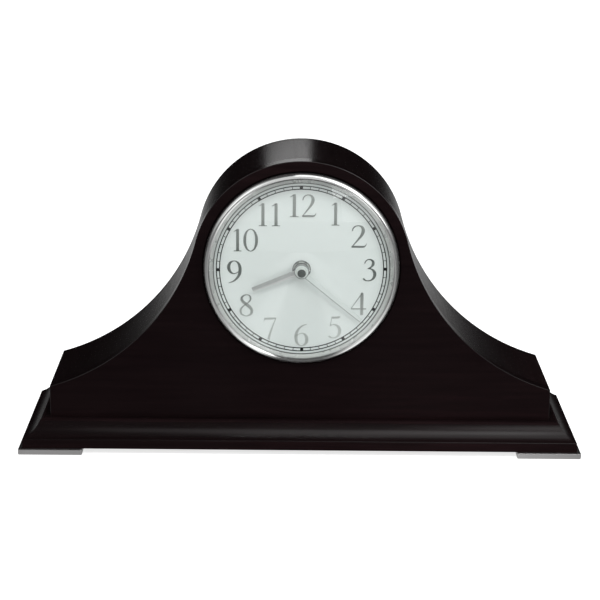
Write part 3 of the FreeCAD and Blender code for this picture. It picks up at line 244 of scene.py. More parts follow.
# What mirrors see of the floor, in the same form, with places in metres
FLOOR_GLOWS = {
    "patches": ("X", -0.7, 0.7, [
        (-0.60, 0.20), (-0.26, 0.26), (-0.22, 0.42), (-0.16, 0.38), (-0.125, 0.30), (-0.10, 0.85),
        (-0.06, 1.1), (-0.045, 0.40), (-0.03, 0.09), (0.03, 0.08), (0.05, 0.35), (0.065, 1.0),
        (0.125, 1.1), (0.16, 0.60), (0.22, 0.42), (0.26, 0.24), (0.40, 0.14), (0.60, 0.06)]),
    "far": ("Y", -1.0, -0.1, [(-0.90, 0.95), (-0.60, 0.70), (-0.305, 0.35), (-0.20, 0.10), (-0.11, 0.06)]),
    "middle": ("X", -0.4, 0.4, [(-0.30, 0.2), (-0.15, 1.0), (0.15, 1.0), (0.30, 0.2)]),
    "ahead": ("Y", -0.2, 0.6, [(-0.062, 1.0), (-0.060, 0.70), (0.20, 0.60), (0.45, 0.0)]),
    "across": ("X", -1.0, 1.0, [
        (-1.0, 0.01), (-0.53, 0.015), (-0.42, 0.02), (-0.38, 0.035), (-0.35, 0.11), (-0.28, 0.52),
        (-0.23, 0.85), (-0.16, 0.95), (0.0, 0.98), (0.16, 1.0), (0.19, 0.72), (0.23, 0.75),
        (0.28, 0.75), (0.35, 0.42), (0.39, 0.12), (0.43, 0.030), (0.53, 0.018), (1.0, 0.01)]),
    "along": ("Y", 0.0, 2.0, [
        (0.10, 0.015), (0.50, 0.03), (0.55, 0.15), (0.60, 0.45), (0.65, 0.60), (0.70, 0.70),
        (0.75, 0.75), (0.85, 0.80), (1.20, 0.75), (2.0, 0.60)]),
    "back": ("Y", -0.2, 0.6, [(0.10, 0.0), (0.45, 1.0)]),
}

# Each light's name, kind, place, target, size and strength: watts, or a card's brightness
LIGHTS = (
    ("key", "soft", (0.85, -0.62, 0.75), (0.0, -0.04, 0.15), (0.25, 0.25), 2.0),
    ("top", "soft", (-0.10, -0.85, 1.0), (0.0, -0.04, 0.15), (0.35, 0.25), 3.5),
    ("overhead", "open", (0.55, -0.33, 1.3), (0.55, -0.33, 0.0), (1.3, 0.85), 4.2),
    ("card_left", "card", (-0.1375, -0.16, 0.42), (-0.1375, 0.0, 0.42), (0.125, 0.41), 0.62),
    ("card_middle", "card", (0.0, -0.16, 0.42), (0.0, 0.0, 0.42), (0.15, 0.41), 0.65),
    ("card_right", "card", (0.12, -0.16, 0.42), (0.12, 0.0, 0.42), (0.09, 0.41), 1.4),
    ("card_end", "card", (0.21, -0.16, 0.36), (0.21, 0.0, 0.36), (0.09, 0.29), 2.4),
    ("behind", "open", (-0.05, 0.62, 0.40), (0.0, 0.0, 0.23), (0.17, 0.10), 0.06),
    ("side", "open", (0.42, -0.75, 0.75), (0.1, -0.05, 0.02), (0.35, 0.35), 0.9),
)

# The rays that don't see each kind of light
UNSEEN_BY = {"soft": ("glossy",), "open": (), "card": ("diffuse", "camera", "transmission")}


# Node helpers
def material(name):
    """A new material with its node tree and its main shader."""
    made = bpy.data.materials.new(name)
    made.use_nodes = True
    return made, made.node_tree, made.node_tree.nodes["Principled BSDF"]


def add(tree, kind, **settings):
    """A new node, with settings that are its inputs or its own properties."""
    node = tree.nodes.new(kind)
    for key, value in settings.items():
        if key in node.inputs.keys():
            node.inputs[key].default_value = value
        else:
            setattr(node, key, value)
    return node


def plug(tree, socket, value):
    """Link a socket to another one, or set a constant on it."""
    if isinstance(value, bpy.types.NodeSocket):
        tree.links.new(value, socket)
    else:
        socket.default_value = value


def axes_of(tree, kind="Object"):
    """The X, Y and Z sockets of a point's place, or of a ray's direction in the world's nodes."""
    place = add(tree, "ShaderNodeTexCoord")
    parts = add(tree, "ShaderNodeSeparateXYZ")
    tree.links.new(place.outputs[kind], parts.inputs[0])
    return {axis: parts.outputs[axis] for axis in "XYZ"}


def noise(tree, scale, detail=3.0, rough=0.5):
    """Noise in the object's place, with a scale on each axis."""
    place = add(tree, "ShaderNodeTexCoord")
    mapping = add(tree, "ShaderNodeMapping")
    mapping.inputs["Scale"].default_value = scale
    tree.links.new(place.outputs["Object"], mapping.inputs["Vector"])
    node = add(tree, "ShaderNodeTexNoise", Scale=1.0, Detail=detail, Roughness=rough)
    tree.links.new(mapping.outputs["Vector"], node.inputs["Vector"])
    return node.outputs["Fac"]


def ramp(tree, fac, stops):
    """Colours by a share from 0 to 1: the stops give the share and the colour."""
    node = add(tree, "ShaderNodeValToRGB")
    while len(node.color_ramp.elements) < len(stops):
        node.color_ramp.elements.new(0.5)
    for element, (at, colour) in zip(node.color_ramp.elements, stops):
        element.position = at
        element.color = (*colour, 1.0)
    tree.links.new(fac, node.inputs["Fac"])
    return node.outputs["Color"]


def two_tones(tree, pattern, low_colour, high_colour):
    """Colours from a noise pattern's low values to its high ones."""
    return ramp(tree, pattern, [(NOISE_LOW, low_colour), (NOISE_HIGH, high_colour)])


def scaled(colour, share):
    """A colour with its levels multiplied, none above 1."""
    return tuple(min(level * share, 1.0) for level in colour)


def spread(tree, fac, low, high):
    """A share from 0 to 1, spread between two values."""
    node = add(tree, "ShaderNodeMapRange")
    node.inputs["To Min"].default_value = low
    node.inputs["To Max"].default_value = high
    tree.links.new(fac, node.inputs["Value"])
    return node.outputs["Result"]


def shares(tree, value, low, high):
    """A value's place between two ends, from 0 to 1."""
    node = add(tree, "ShaderNodeMapRange")
    node.inputs["From Min"].default_value = low
    node.inputs["From Max"].default_value = high
    tree.links.new(value, node.inputs["Value"])
    return node.outputs["Result"]


def grey_ramp(tree, value, low, high, stops):
    """Greys by a value: the stops give the value and the level."""
    greys = [((at - low) / (high - low), (level, level, level)) for at, level in stops]
    return ramp(tree, shares(tree, value, low, high), greys)


def grey_ramps(tree, axes, table):
    """The grey ramps of a table of axes, ends and stops, by name."""
    return {name: grey_ramp(tree, axes[axis], low, high, stops)
            for name, (axis, low, high, stops) in table.items()}


def blended(tree, kind, first, second, factor=1.0):
    """Two colours through a Mix node."""
    node = add(tree, "ShaderNodeMix", data_type="RGBA", blend_type=kind)
    plug(tree, node.inputs[MIX_FACTOR], factor)
    for socket, colour in zip(MIX_COLOURS, (first, second)):
        plug(tree, node.inputs[socket], colour)
    return node.outputs[MIX_COLOUR_OUT]


def multiplied(tree, first, second):
    """Two colours, one tinted by the other."""
    return blended(tree, "MULTIPLY", first, second)


def maths(tree, operation, first, second=0.0):
    """One arithmetic node on two sockets or numbers."""
    node = add(tree, "ShaderNodeMath", operation=operation)
    plug(tree, node.inputs[0], first)
    plug(tree, node.inputs[1], second)
    return node.outputs[0]


def bump(tree, height, bsdf, strength, distance):
    """Fine relief from a pattern, on a shader's normal."""
    node = add(tree, "ShaderNodeBump", Strength=strength, Distance=distance)
    tree.links.new(height, node.inputs["Height"])
    tree.links.new(node.outputs["Normal"], bsdf.inputs["Normal"])


def mixed_shader(tree, factor, first, second):
    """Mix two shaders into the material's output."""
    node = add(tree, "ShaderNodeMixShader")
    for socket, value in zip(node.inputs, (factor, first, second)):
        tree.links.new(value, socket)
    tree.links.new(node.outputs[0], tree.nodes["Material Output"].inputs["Surface"])


# Materials
def lacquered_wood(name, along, gloss=0.25, rough=0.20, lift=1.0):
    """Very dark brown satin lacquer over fine grain that runs along one axis."""
    made, tree, bsdf = material(name)
    fine = tuple(GRAIN_ALONG if axis == along else GRAIN_ACROSS for axis in "XYZ")
    broad = tuple(CLOUD_ALONG if axis == along else CLOUD_ACROSS for axis in "XYZ")
    grain = noise(tree, fine, 5.0, 0.6)
    cloud = noise(tree, broad, 2.0)
    both = add(tree, "ShaderNodeMix", data_type="FLOAT")
    both.inputs[MIX_FACTOR].default_value = CLOUD_SHARE
    for socket, pattern in zip(MIX_FLOATS, (grain, cloud)):
        tree.links.new(pattern, both.inputs[socket])
    # A lift above 1 raises the colour as painted sheen.
    colour = ramp(tree, both.outputs[MIX_FLOAT_OUT], [(at, scaled(tone, lift)) for at, tone in WOOD_TONES])
    tree.links.new(colour, bsdf.inputs["Base Color"])
    tree.links.new(spread(tree, grain, rough, rough + 0.08), bsdf.inputs["Roughness"])
    bsdf.inputs["Specular IOR Level"].default_value = gloss
    bump(tree, grain, bsdf, strength=0.08, distance=0.1 * MM)
    return made


def polished_metal(name, colour, rough, scratch=0.03, metallic=1.0):
    """Metal whose roughness and tone vary a little."""
    made, tree, bsdf = material(name)
    bsdf.inputs["Metallic"].default_value = metallic
    fleck = noise(tree, METAL_SCALE, 4.0)
    tree.links.new(spread(tree, fleck, rough, rough + scratch), bsdf.inputs["Roughness"])
    tree.links.new(two_tones(tree, fleck, scaled(colour, 0.97), colour), bsdf.inputs["Base Color"])
    return made


def plain(name, colour, rough, grain=400.0, depth=0.08 * MM, vary=0.12, specular=0.5):
    """Moulded, painted or sheet material with a fine surface texture and slight colour change."""
    made, tree, bsdf = material(name)
    fleck = noise(tree, (grain, grain, grain))
    cloud = noise(tree, CLOUD_SCALE, 2.0)
    shade = two_tones(tree, cloud, scaled(colour, 1 - vary), scaled(colour, 1 + vary / 2))
    tree.links.new(shade, bsdf.inputs["Base Color"])
    tree.links.new(spread(tree, fleck, rough - 0.05, rough + 0.05), bsdf.inputs["Roughness"])
    bsdf.inputs["Specular IOR Level"].default_value = specular
    bump(tree, fleck, bsdf, strength=0.15, distance=depth)
    return made


def dial_sheet(name, colour):
    """White dial paint with a painted shade of the bezel, deepest at the top."""
    made = plain(name, colour, 0.42, grain=900.0, depth=0.02 * MM, vary=0.015, specular=0.3)
    tree = made.node_tree
    bsdf = tree.nodes["Principled BSDF"]
    place = add(tree, "ShaderNodeTexCoord")
    reach = add(tree, "ShaderNodeVectorMath", operation="DISTANCE")
    reach.inputs[1].default_value = (PAINTED_SHADE_RIGHT_MM * MM, dial_face, dial_z - PAINTED_SHADE_DOWN_MM * MM)
    tree.links.new(place.outputs["Object"], reach.inputs[0])
    # Painted shade: the colour darkens with distance from a point just left of and below the dial's
    # middle.
    shade = grey_ramp(tree, reach.outputs["Value"], 0.0, 100.0 * MM,
                      [(at * MM, level) for at, level in PAINTED_SHADE_STOPS_MM])
    base = bsdf.inputs["Base Color"].links[0].from_socket
    tree.links.new(multiplied(tree, base, shade), bsdf.inputs["Base Color"])
    return made


def banded(name, pattern, pale, dark, start_mm, angle=0.0):
    """Satin metal, dark past a line: round the axis, across a hand, along its edge or behind a front."""
    made, tree, bsdf = material(name)
    axes = axes_of(tree)
    x_mm = maths(tree, "MULTIPLY", axes["X"], 1 / MM)
    y_mm = maths(tree, "MULTIPLY", axes["Y"], 1 / MM)
    z_mm = maths(tree, "MULTIPLY", maths(tree, "SUBTRACT", axes["Z"], dial_z), 1 / MM)
    reach = maths(tree, "SQRT", maths(tree, "ADD", maths(tree, "MULTIPLY", x_mm, x_mm),
                                      maths(tree, "MULTIPLY", z_mm, z_mm)))
    side = maths(tree, "ADD", maths(tree, "MULTIPLY", x_mm, math.cos(angle)),
                 maths(tree, "MULTIPLY", z_mm, -math.sin(angle)))
    if pattern == "round":
        level = reach
    elif pattern == "across":
        level = side
    elif pattern == "edge":
        blade = maths(tree, "ADD", side, maths(tree, "MULTIPLY", reach, BLADE_TAPER))
        out = maths(tree, "GREATER_THAN", reach, EYE_OUTER_MM)
        off_rim = maths(tree, "ABSOLUTE", maths(tree, "SUBTRACT", reach, EYE_RIM_MM))
        rim = maths(tree, "LESS_THAN", off_rim, EYE_RIM_HALF_MM)
        level = maths(tree, "ADD", maths(tree, "MULTIPLY", blade, out),
                      maths(tree, "MULTIPLY", rim, RIM_LEVEL))
    else:
        level = maths(tree, "SUBTRACT", 2 * start_mm + cap_low.y / MM, y_mm)
    # On the washer and the minute hand the dark part past this line is painted shade.
    line = shares(tree, level, start_mm - LINE_SOFTNESS_MM, start_mm + LINE_SOFTNESS_MM)
    shade = ramp(tree, line, [(0.0, pale), (1.0, dark)])
    fleck = noise(tree, FOIL_SCALE)
    tint = two_tones(tree, fleck, (0.97, 0.97, 0.97), (1.0, 1.0, 1.0))
    tree.links.new(multiplied(tree, shade, tint), bsdf.inputs["Base Color"])
    tree.links.new(spread(tree, fleck, 0.30, 0.38), bsdf.inputs["Roughness"])
    bsdf.inputs["Metallic"].default_value = 0.15
    return made


def numeral_foil(name):
    """Satin silver with a painted reflection: light at the dial's foot, dark at mid height."""
    made, tree, bsdf = material(name)
    level = shares(tree, axes_of(tree)["Z"], dial_z - DIAL_VISIBLE_RADIUS, dial_z + DIAL_VISIBLE_RADIUS)
    tree.links.new(ramp(tree, level, FOIL_PAINTED_REFLECTION_TONES), bsdf.inputs["Base Color"])
    tree.links.new(spread(tree, noise(tree, FOIL_SCALE), 0.30, 0.40), bsdf.inputs["Roughness"])
    bsdf.inputs["Metallic"].default_value = 0.35
    return made


def raw_wood(name):
    """Bare softwood with its grain along X."""
    made, tree, bsdf = material(name)
    grain = noise(tree, SOFTWOOD_SCALE, 5.0, 0.6)
    colour = two_tones(tree, grain, (0.30, 0.17, 0.08), (0.52, 0.34, 0.18))
    tree.links.new(colour, bsdf.inputs["Base Color"])
    bsdf.inputs["Roughness"].default_value = 0.75
    bump(tree, grain, bsdf, strength=0.2, distance=0.2 * MM)
    return made


def clear_glass(name):
    """Clear glass that lets light through to the dial without a hard shadow of its own."""
    made, tree, bsdf = material(name)
    bsdf.inputs["Base Color"].default_value = (0.985, 0.995, 0.99, 1.0)
    bsdf.inputs["Transmission Weight"].default_value = 1.0
    bsdf.inputs["IOR"].default_value = 1.45
    tree.links.new(spread(tree, noise(tree, GLASS_SCALE, 2.0), 0.0, 0.01), bsdf.inputs["Roughness"])
    path = add(tree, "ShaderNodeLightPath")
    lighting = maths(tree, "MAXIMUM", path.outputs["Is Shadow Ray"], path.outputs["Is Diffuse Ray"])
    through = add(tree, "ShaderNodeBsdfTransparent")
    through.inputs["Color"].default_value = (0.94, 0.96, 0.95, 1.0)
    mixed_shader(tree, lighting, bsdf.outputs[0], through.outputs[0])
    return made


wood_x = lacquered_wood("espresso_lacquer_x", "X")
wood_y = lacquered_wood("espresso_lacquer_y", "Y", gloss=0.46)
# The face lacquer has almost no gloss; its colour, raised 1.4 times, is painted sheen.
wood_face_painted_sheen = lacquered_wood("espresso_face_painted_sheen", "X", gloss=0.01, lift=1.4)
wood_arris = lacquered_wood("espresso_arris", "X", gloss=0.55, rough=0.14)
wood_end = lacquered_wood("espresso_end", "Y", gloss=0.18)
inner_wood = raw_wood("softwood")
chrome = polished_metal("polished_bezel", (0.80, 0.81, 0.80), 0.10, metallic=0.94)
satin_metal = polished_metal("satin_ring", (0.56, 0.57, 0.56), 0.26, metallic=0.45)
foot_metal = polished_metal("foot_metal", (0.68, 0.67, 0.67), 0.30, scratch=0.06)
# Dark metal on the bezel's outer wall: painted shadow of the gap in the rebate.
bezel_painted_shadow = polished_metal("bezel_wall_painted_shadow", (0.10, 0.10, 0.10), 0.25, metallic=0.9)
hub_metal = polished_metal("hub_metal", (0.72, 0.74, 0.72), 0.16)
# The washer is pale, and its outer rim is painted dark as shade at its edge.
washer_painted_edge_shade = banded("washer_painted_edge_shade", "round", (0.45, 0.48, 0.46), (0.030, 0.034, 0.032), 6.65)
hour_paint = banded("hour_hand_satin", "across", (0.55, 0.55, 0.55), (0.38, 0.385, 0.385), -0.9,
                    math.radians(248.2))
# The minute hand is pale, with painted shade along its lower edge and round the rim of its eye.
minute_paint_painted_shade = banded("minute_hand_painted_shade", "edge", (0.66, 0.70, 0.69), (0.20, 0.215, 0.21), 1.75,
                      math.radians(130.5))
cap_metal = banded("cap_metal", "front", (0.62, 0.65, 0.63), (0.030, 0.040, 0.036), 0.45)
# The numerals' silver carries a painted reflection that changes with height.
numeral_metal = numeral_foil("numeral_metal")
brass = polished_metal("brass", (0.66, 0.47, 0.20), 0.24)
steel = polished_metal("zinc_steel", (0.55, 0.55, 0.54), 0.35)
copper = polished_metal("coil_wire", (0.62, 0.26, 0.12), 0.38)
glass = clear_glass("crystal")
# The dial's white carries a painted shade of the bezel, deepest at the top.
dial_paint_painted_shade = dial_sheet("dial_white", (0.735, 0.765, 0.76))
print_ink = plain("print_ink", (0.005, 0.006, 0.006), 0.6, specular=0.15)
# Dark grey for the ring at the dial's edge: painted shadow.
dial_edge_painted_shadow = plain("dial_edge_painted_shadow", (0.11, 0.115, 0.11), 0.6, specular=0.15)
pad_rubber = plain("pad_rubber", (0.012, 0.012, 0.012), 0.7)
black_plastic = plain("black_plastic", (0.016, 0.016, 0.018), 0.45)
knob_plastic = plain("knob_plastic", (0.022, 0.022, 0.024), 0.28)
pale_plastic = plain("pale_plastic", (0.62, 0.61, 0.57), 0.4)
red_plastic = plain("red_plastic", (0.42, 0.02, 0.015), 0.3)
board_resin = plain("board_resin", (0.012, 0.10, 0.035), 0.35)
cell_wrap = plain("cell_wrap", (0.30, 0.31, 0.33), 0.28)
speaker_paint = plain("speaker_paint", (0.018, 0.018, 0.02), 0.4)
cone_paper = plain("cone_paper", (0.012, 0.012, 0.012), 0.85, grain=1500.0, depth=0.2 * MM)
magnet_grey = plain("magnet_grey", (0.03, 0.03, 0.033), 0.6)
lead_sheath = plain("lead_sheath", (0.014, 0.014, 0.015), 0.5)


# Mesh helpers
def finish_mesh(name, bm, body, surface, replaced=(), angle=CASE_SHARP_ANGLE, others=()):
    """Turn a bmesh into a piece with smooth shading, its body and its materials."""
    bmesh.ops.remove_doubles(bm, verts=bm.verts, dist=WELD_DISTANCE)
    bmesh.ops.recalc_face_normals(bm, faces=bm.faces)
    mesh = bpy.data.meshes.new(name)
    bm.to_mesh(mesh)
    bm.free()
    mesh.polygons.foreach_set("use_smooth", [True] * len(mesh.polygons))
    mesh.set_sharp_from_angle(angle=math.radians(angle))
    piece = bpy.data.objects.new(name, mesh)
    bpy.context.scene.collection.objects.link(piece)
    weighted = piece.modifiers.new("normals", "WEIGHTED_NORMAL")
    weighted.keep_sharp = True
    mesh.materials.append(surface)
    for other in others:
        mesh.materials.append(other)
    if replaced:
        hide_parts(*replaced)
    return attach(piece, body)


def ring_of(bm, points):
    """New points of a mesh, in one row."""
    return [bm.verts.new(point) for point in points]


def bridge(bm, first, second, closed=True, surface=0):
    """Faces between two rows of points, closed to a ring or left open."""
    count = len(first)
    for index in range(count if closed else count - 1):
        after = (index + 1) % count
        corners = [first[index], first[after], second[after], second[index]]
        bm.faces.new(list(dict.fromkeys(corners))).material_index = surface


def fill(bm, loops):
    """Fill a flat outline, with any further loops as holes."""
    edges = []
    for loop in loops:
        for index, vert in enumerate(loop):
            after = loop[(index + 1) % len(loop)]
            edge = bm.edges.get((vert, after)) or bm.edges.new((vert, after))
            edges.append(edge)
    bmesh.ops.triangle_fill(bm, use_beauty=True, edges=edges)


def circle(radius, y, count=ROUND_STEPS):
    """Points round the dial's axis, clockwise from the top."""
    angles = [2 * math.pi * step / count for step in range(count)]
    return [(radius * math.sin(angle), y, dial_z + radius * math.cos(angle)) for angle in angles]


def turn(bm, profile, count=ROUND_STEPS):
    """Revolve a closed profile of (radius, y) points about the dial's axis. A radius of 0 is one point."""
    rings = []
    for radius, y in profile:
        if radius == 0:
            rings.append([bm.verts.new((0.0, y, dial_z))] * count)
        else:
            rings.append(ring_of(bm, circle(radius, y, count)))
    for first, second in zip(rings, rings[1:] + rings[:1]):
        if first[0] is first[-1] and second[0] is second[-1]:
            continue
        bridge(bm, first, second)


def paint_beyond(bm, radius):
    """Give the second material to the faces farther than a radius from the dial's axis."""
    for face in bm.faces:
        middle = face.calc_center_median()
        if math.hypot(middle.x, middle.z - dial_z) > radius:
            face.material_index = 1


def rounded(start, corner, end, radius, steps=ARRIS_STEPS):
    """Points of a fillet at a profile's corner."""
    corner = Vector(corner)
    back = (Vector(start) - corner).normalized()
    ahead = (Vector(end) - corner).normalized()
    half = back.angle(ahead) / 2
    reach = radius / math.tan(half)
    centre = corner + (back + ahead).normalized() * (radius / math.sin(half))
    first = corner + back * reach - centre
    last = corner + ahead * reach - centre
    sweep = first.angle(last)
    points = []
    for step in range(steps + 1):
        share = step / steps
        mix = (first * math.sin((1 - share) * sweep) + last * math.sin(share * sweep)) / math.sin(sweep)
        points.append(tuple(centre + mix))
    return points


# The case's hump-backed outline
def sweep_centre():
    """(x, z) of the centre that makes the right sweep touch the arch and end at the case's side."""
    end_z = plinth_top + CASE_END_HEIGHT
    reach = math.hypot(case_half, end_z - dial_z)
    total = ARCH_RADIUS + SWEEP_RADIUS
    along = (total ** 2 - SWEEP_RADIUS ** 2 + reach ** 2) / (2 * reach)
    across = math.sqrt(total ** 2 - along ** 2)
    ux = case_half / reach
    uz = (end_z - dial_z) / reach
    return along * ux - across * uz, dial_z + along * uz + across * ux


def half_outline(inset):
    """(x, z) points from the crown down the right side to the case's foot."""
    cx, cz = sweep_centre()
    arch = ARCH_RADIUS - inset
    sweep = SWEEP_RADIUS + inset
    slope = math.atan2(cz - dial_z, cx)
    points = []
    for step in range(ARCH_STEPS + 1):
        angle = math.pi / 2 + (slope - math.pi / 2) * step / ARCH_STEPS
        points.append((arch * math.cos(angle), dial_z + arch * math.sin(angle)))
    first = slope + math.pi
    end_x = case_half - inset
    last = math.pi + math.atan2(math.sqrt(sweep ** 2 - (cx - end_x) ** 2), cx - end_x)
    for step in range(1, SWEEP_STEPS + 1):
        angle = first + (last - first) * step / SWEEP_STEPS
        points.append((cx + sweep * math.cos(angle), cz + sweep * math.sin(angle)))
    points.append((end_x, plinth_top))
    return points


def outline(inset, y):
    """The whole outline as a closed loop of points, from the left foot over the crown."""
    right = half_outline(inset)
    left = [(-x, z) for x, z in reversed(right[1:])]
    return [(x, y, z) for x, z in left + right]


def rounded_rim(bm, face_y, wall_y, radius):
    """Rings from a flat front's edge, round its arris, along the wall to its back edge."""
    rings = []
    for step in range(ARRIS_STEPS + 1):
        angle = math.pi / 2 * step / ARRIS_STEPS
        inset = radius * (1 - math.sin(angle))
        rings.append(ring_of(bm, outline(inset, face_y + radius * (1 - math.cos(angle)))))
    rings.append(ring_of(bm, outline(0.0, wall_y)))
    for first, second in zip(rings, rings[1:]):
        bridge(bm, first, second, surface=1)
    return rings


# Wooden pieces
def make_front_panel():
    """The hump-backed panel with the bezel's round rebate and the hole behind it."""
    bm = bmesh.new()
    rings = rounded_rim(bm, case_front, inner_front, ARRIS)
    floor = case_front + REBATE_DEPTH
    mouth = rounded((ARCH_RADIUS, case_front), (REBATE_RADIUS, case_front), (REBATE_RADIUS, floor),
                    REBATE_ROUND)
    profile = mouth + [(REBATE_RADIUS, floor), (HOLE_RADIUS, floor), (HOLE_RADIUS, inner_front)]
    circles = [ring_of(bm, circle(radius, y)) for radius, y in profile]
    for first, second in zip(circles, circles[1:]):
        bridge(bm, first, second)
    fill(bm, [rings[0], circles[0]])
    fill(bm, [rings[-1], circles[-1]])
    # The panel's face takes the face lacquer, with painted sheen in its raised colour.
    return finish_mesh("front_panel_board", bm, "case", wood_face_painted_sheen, ["front_panel"],
                       others=[wood_arris])


def make_top_wrap():
    """The bent skin over the arch and the sweeps, between the front and the back panel."""
    bm = bmesh.new()
    loops = [(0.0, inner_front), (0.0, inner_back), (SKIN, inner_back), (SKIN, inner_front)]
    rings = [ring_of(bm, outline(inset, y)) for inset, y in loops]
    for first, second in zip(rings, rings[1:] + rings[:1]):
        bridge(bm, first, second, closed=False)
    for end in (0, -1):
        bm.faces.new([ring[end] for ring in rings])
    return finish_mesh("bent_top_skin", bm, "case", wood_y, ["top_wrap"])


def moulding_profile():
    """(distance in, height) points of the plinth's side, from its top edge down to its foot."""
    cove_in = BAND_ROUND - COVE_RADIUS * math.sin(COVE_START)
    cove_z = BAND_TOP + COVE_RADIUS * math.cos(COVE_START)
    bead_z = plinth_top - BEAD_RADIUS
    reach = COVE_RADIUS + BEAD_RADIUS
    bead_in = cove_in + math.sqrt(reach ** 2 - (cove_z - bead_z) ** 2)
    join = math.asin((cove_z - bead_z) / reach)
    points = []
    for step in range(BEAD_STEPS + 1):
        angle = math.pi / 2 + (math.pi / 2 - join) * step / BEAD_STEPS
        points.append((bead_in + BEAD_RADIUS * math.cos(angle), bead_z + BEAD_RADIUS * math.sin(angle)))
    last = COVE_START - math.pi / 2
    for step in range(1, COVE_STEPS + 1):
        angle = -join + (last + join) * step / COVE_STEPS
        points.append((cove_in + COVE_RADIUS * math.cos(angle), cove_z + COVE_RADIUS * math.sin(angle)))
    points += rounded((BAND_ROUND * 2, BAND_TOP), (0.0, BAND_TOP), (0.0, FOOT_TOP), BAND_ROUND,
                      BAND_STEPS)[1:]
    points += rounded((0.0, BAND_TOP), (0.0, FOOT_TOP), (plinth_half, FOOT_TOP), PLINTH_ARRIS,
                      PLINTH_ARRIS_STEPS)
    return points


def make_plinth():
    """The plinth: its moulding runs round the front corners with mitres and ends at the flat back."""
    bm = bmesh.new()
    back = plinth_high.y
    front = plinth_low.y
    strips = []
    for inset, z in moulding_profile():
        x = plinth_half - inset
        strips.append(ring_of(bm, [(-x, back, z), (-x, front + inset, z), (x, front + inset, z),
                                   (x, back, z)]))
    band_start = BEAD_STEPS + COVE_STEPS + BAND_STEPS
    for index, (first, second) in enumerate(zip(strips, strips[1:])):
        # The bead and the band take the face lacquer, with painted sheen in its raised colour.
        satin = index < BEAD_STEPS or index >= band_start
        bridge(bm, first, second, closed=False, surface=PLINTH_FACE if satin else 0)
    bm.faces.new(strips[0])
    bm.faces.new(strips[-1])
    bm.faces.new([strip[0] for strip in strips] + [strip[-1] for strip in reversed(strips)])
    bm.normal_update()
    for face in bm.faces:
        if abs(face.normal.x) > END_FACE_LEAN:
            face.material_index = PLINTH_END
    return finish_mesh("plinth_board", bm, "case", wood_x, ["plinth"],
                       others=[wood_face_painted_sheen, wood_end])


def rise(edge):
    """The height between an edge's two ends."""
    return abs(edge.verts[0].co.z - edge.verts[1].co.z)


def make_foot(node):
    """A metal block with rounded corners and softened rims."""
    low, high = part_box(node)
    bm = bmesh.new()
    bmesh.ops.create_cube(bm, size=1.0, matrix=Matrix.Translation((low + high) / 2)
                          @ Matrix.Diagonal((*(high - low), 1.0)))
    corners = [edge for edge in bm.edges if rise(edge) > MM]
    bmesh.ops.bevel(bm, geom=corners, offset=FOOT_CORNER_ROUND, segments=FOOT_CORNER_STEPS,
                    affect="EDGES", profile=ROUND_PROFILE)
    rims = [edge for edge in bm.edges if rise(edge) < MM / 10]
    bmesh.ops.bevel(bm, geom=rims, offset=FOOT_RIM_ROUND, segments=FOOT_RIM_STEPS,
                    affect="EDGES", profile=ROUND_PROFILE)
    return finish_mesh(node + "_block", bm, "case", foot_metal, [node])


# Bezel, glass and dial
def glass_surface(radius, grow):
    """Y of the dome's surface at a radius: grow is 0 inside and the thickness outside."""
    centre = GLASS_RIM_Y + GLASS_SPHERE_RADIUS - GLASS_SAGITTA
    return centre - math.sqrt((GLASS_SPHERE_RADIUS + grow) ** 2 - radius ** 2)


def make_bezel():
    """A rounded outer side up to the crest, then a sloping lip that holds the glass."""
    crest = bezel_low.y
    wall_top = case_front - BEZEL_WALL_TOP
    floor = bezel_high.y
    profile = [(BEZEL_INNER_RADIUS, dial_face), (BEZEL_INNER_RADIUS, floor), (BEZEL_RADIUS, floor)]
    for step in range(BEZEL_STEPS + 1):
        angle = math.pi / 2 * step / BEZEL_STEPS
        profile.append((BEZEL_CREST_RADIUS + (BEZEL_RADIUS - BEZEL_CREST_RADIUS) * math.cos(angle),
                        wall_top + (crest - wall_top) * math.sin(angle)))
    seat = GLASS_RADIUS + GLASS_GAP
    lip_foot_y = glass_surface(BEZEL_LIP_FOOT_RADIUS, GLASS_THICKNESS) - GLASS_GAP
    seat_y = glass_surface(GLASS_RADIUS, GLASS_THICKNESS) - GLASS_GAP
    profile += [(BEZEL_LIP_RADIUS, crest + BEZEL_LIP_DROP), (BEZEL_LIP_FOOT_RADIUS, lip_foot_y),
                (seat, seat_y), (seat, dial_face)]
    bm = bmesh.new()
    turn(bm, profile, RING_STEPS)
    # The outer wall takes the dark second material: painted shadow of the gap in the rebate.
    paint_beyond(bm, BEZEL_RADIUS - BEZEL_PAINTED_SHADOW_BAND)
    return finish_mesh("bezel", bm, "case", chrome, ["bezel_ring"],
                       RING_SHARP_ANGLE, [bezel_painted_shadow])


def make_crystal():
    """The domed glass, closed by its flat rim."""
    inner = []
    outer = []
    for step in range(GLASS_STEPS + 1):
        radius = GLASS_INNER_RADIUS * step / GLASS_STEPS
        inner.append((radius, glass_surface(radius, 0.0)))
        radius = GLASS_RADIUS * step / GLASS_STEPS
        outer.append((radius, glass_surface(radius, GLASS_THICKNESS)))
    bm = bmesh.new()
    turn(bm, inner + [(GLASS_RADIUS, GLASS_RIM_Y)] + outer[::-1])
    return finish_mesh("domed_crystal", bm, "case", glass, ["crystal_glass"])


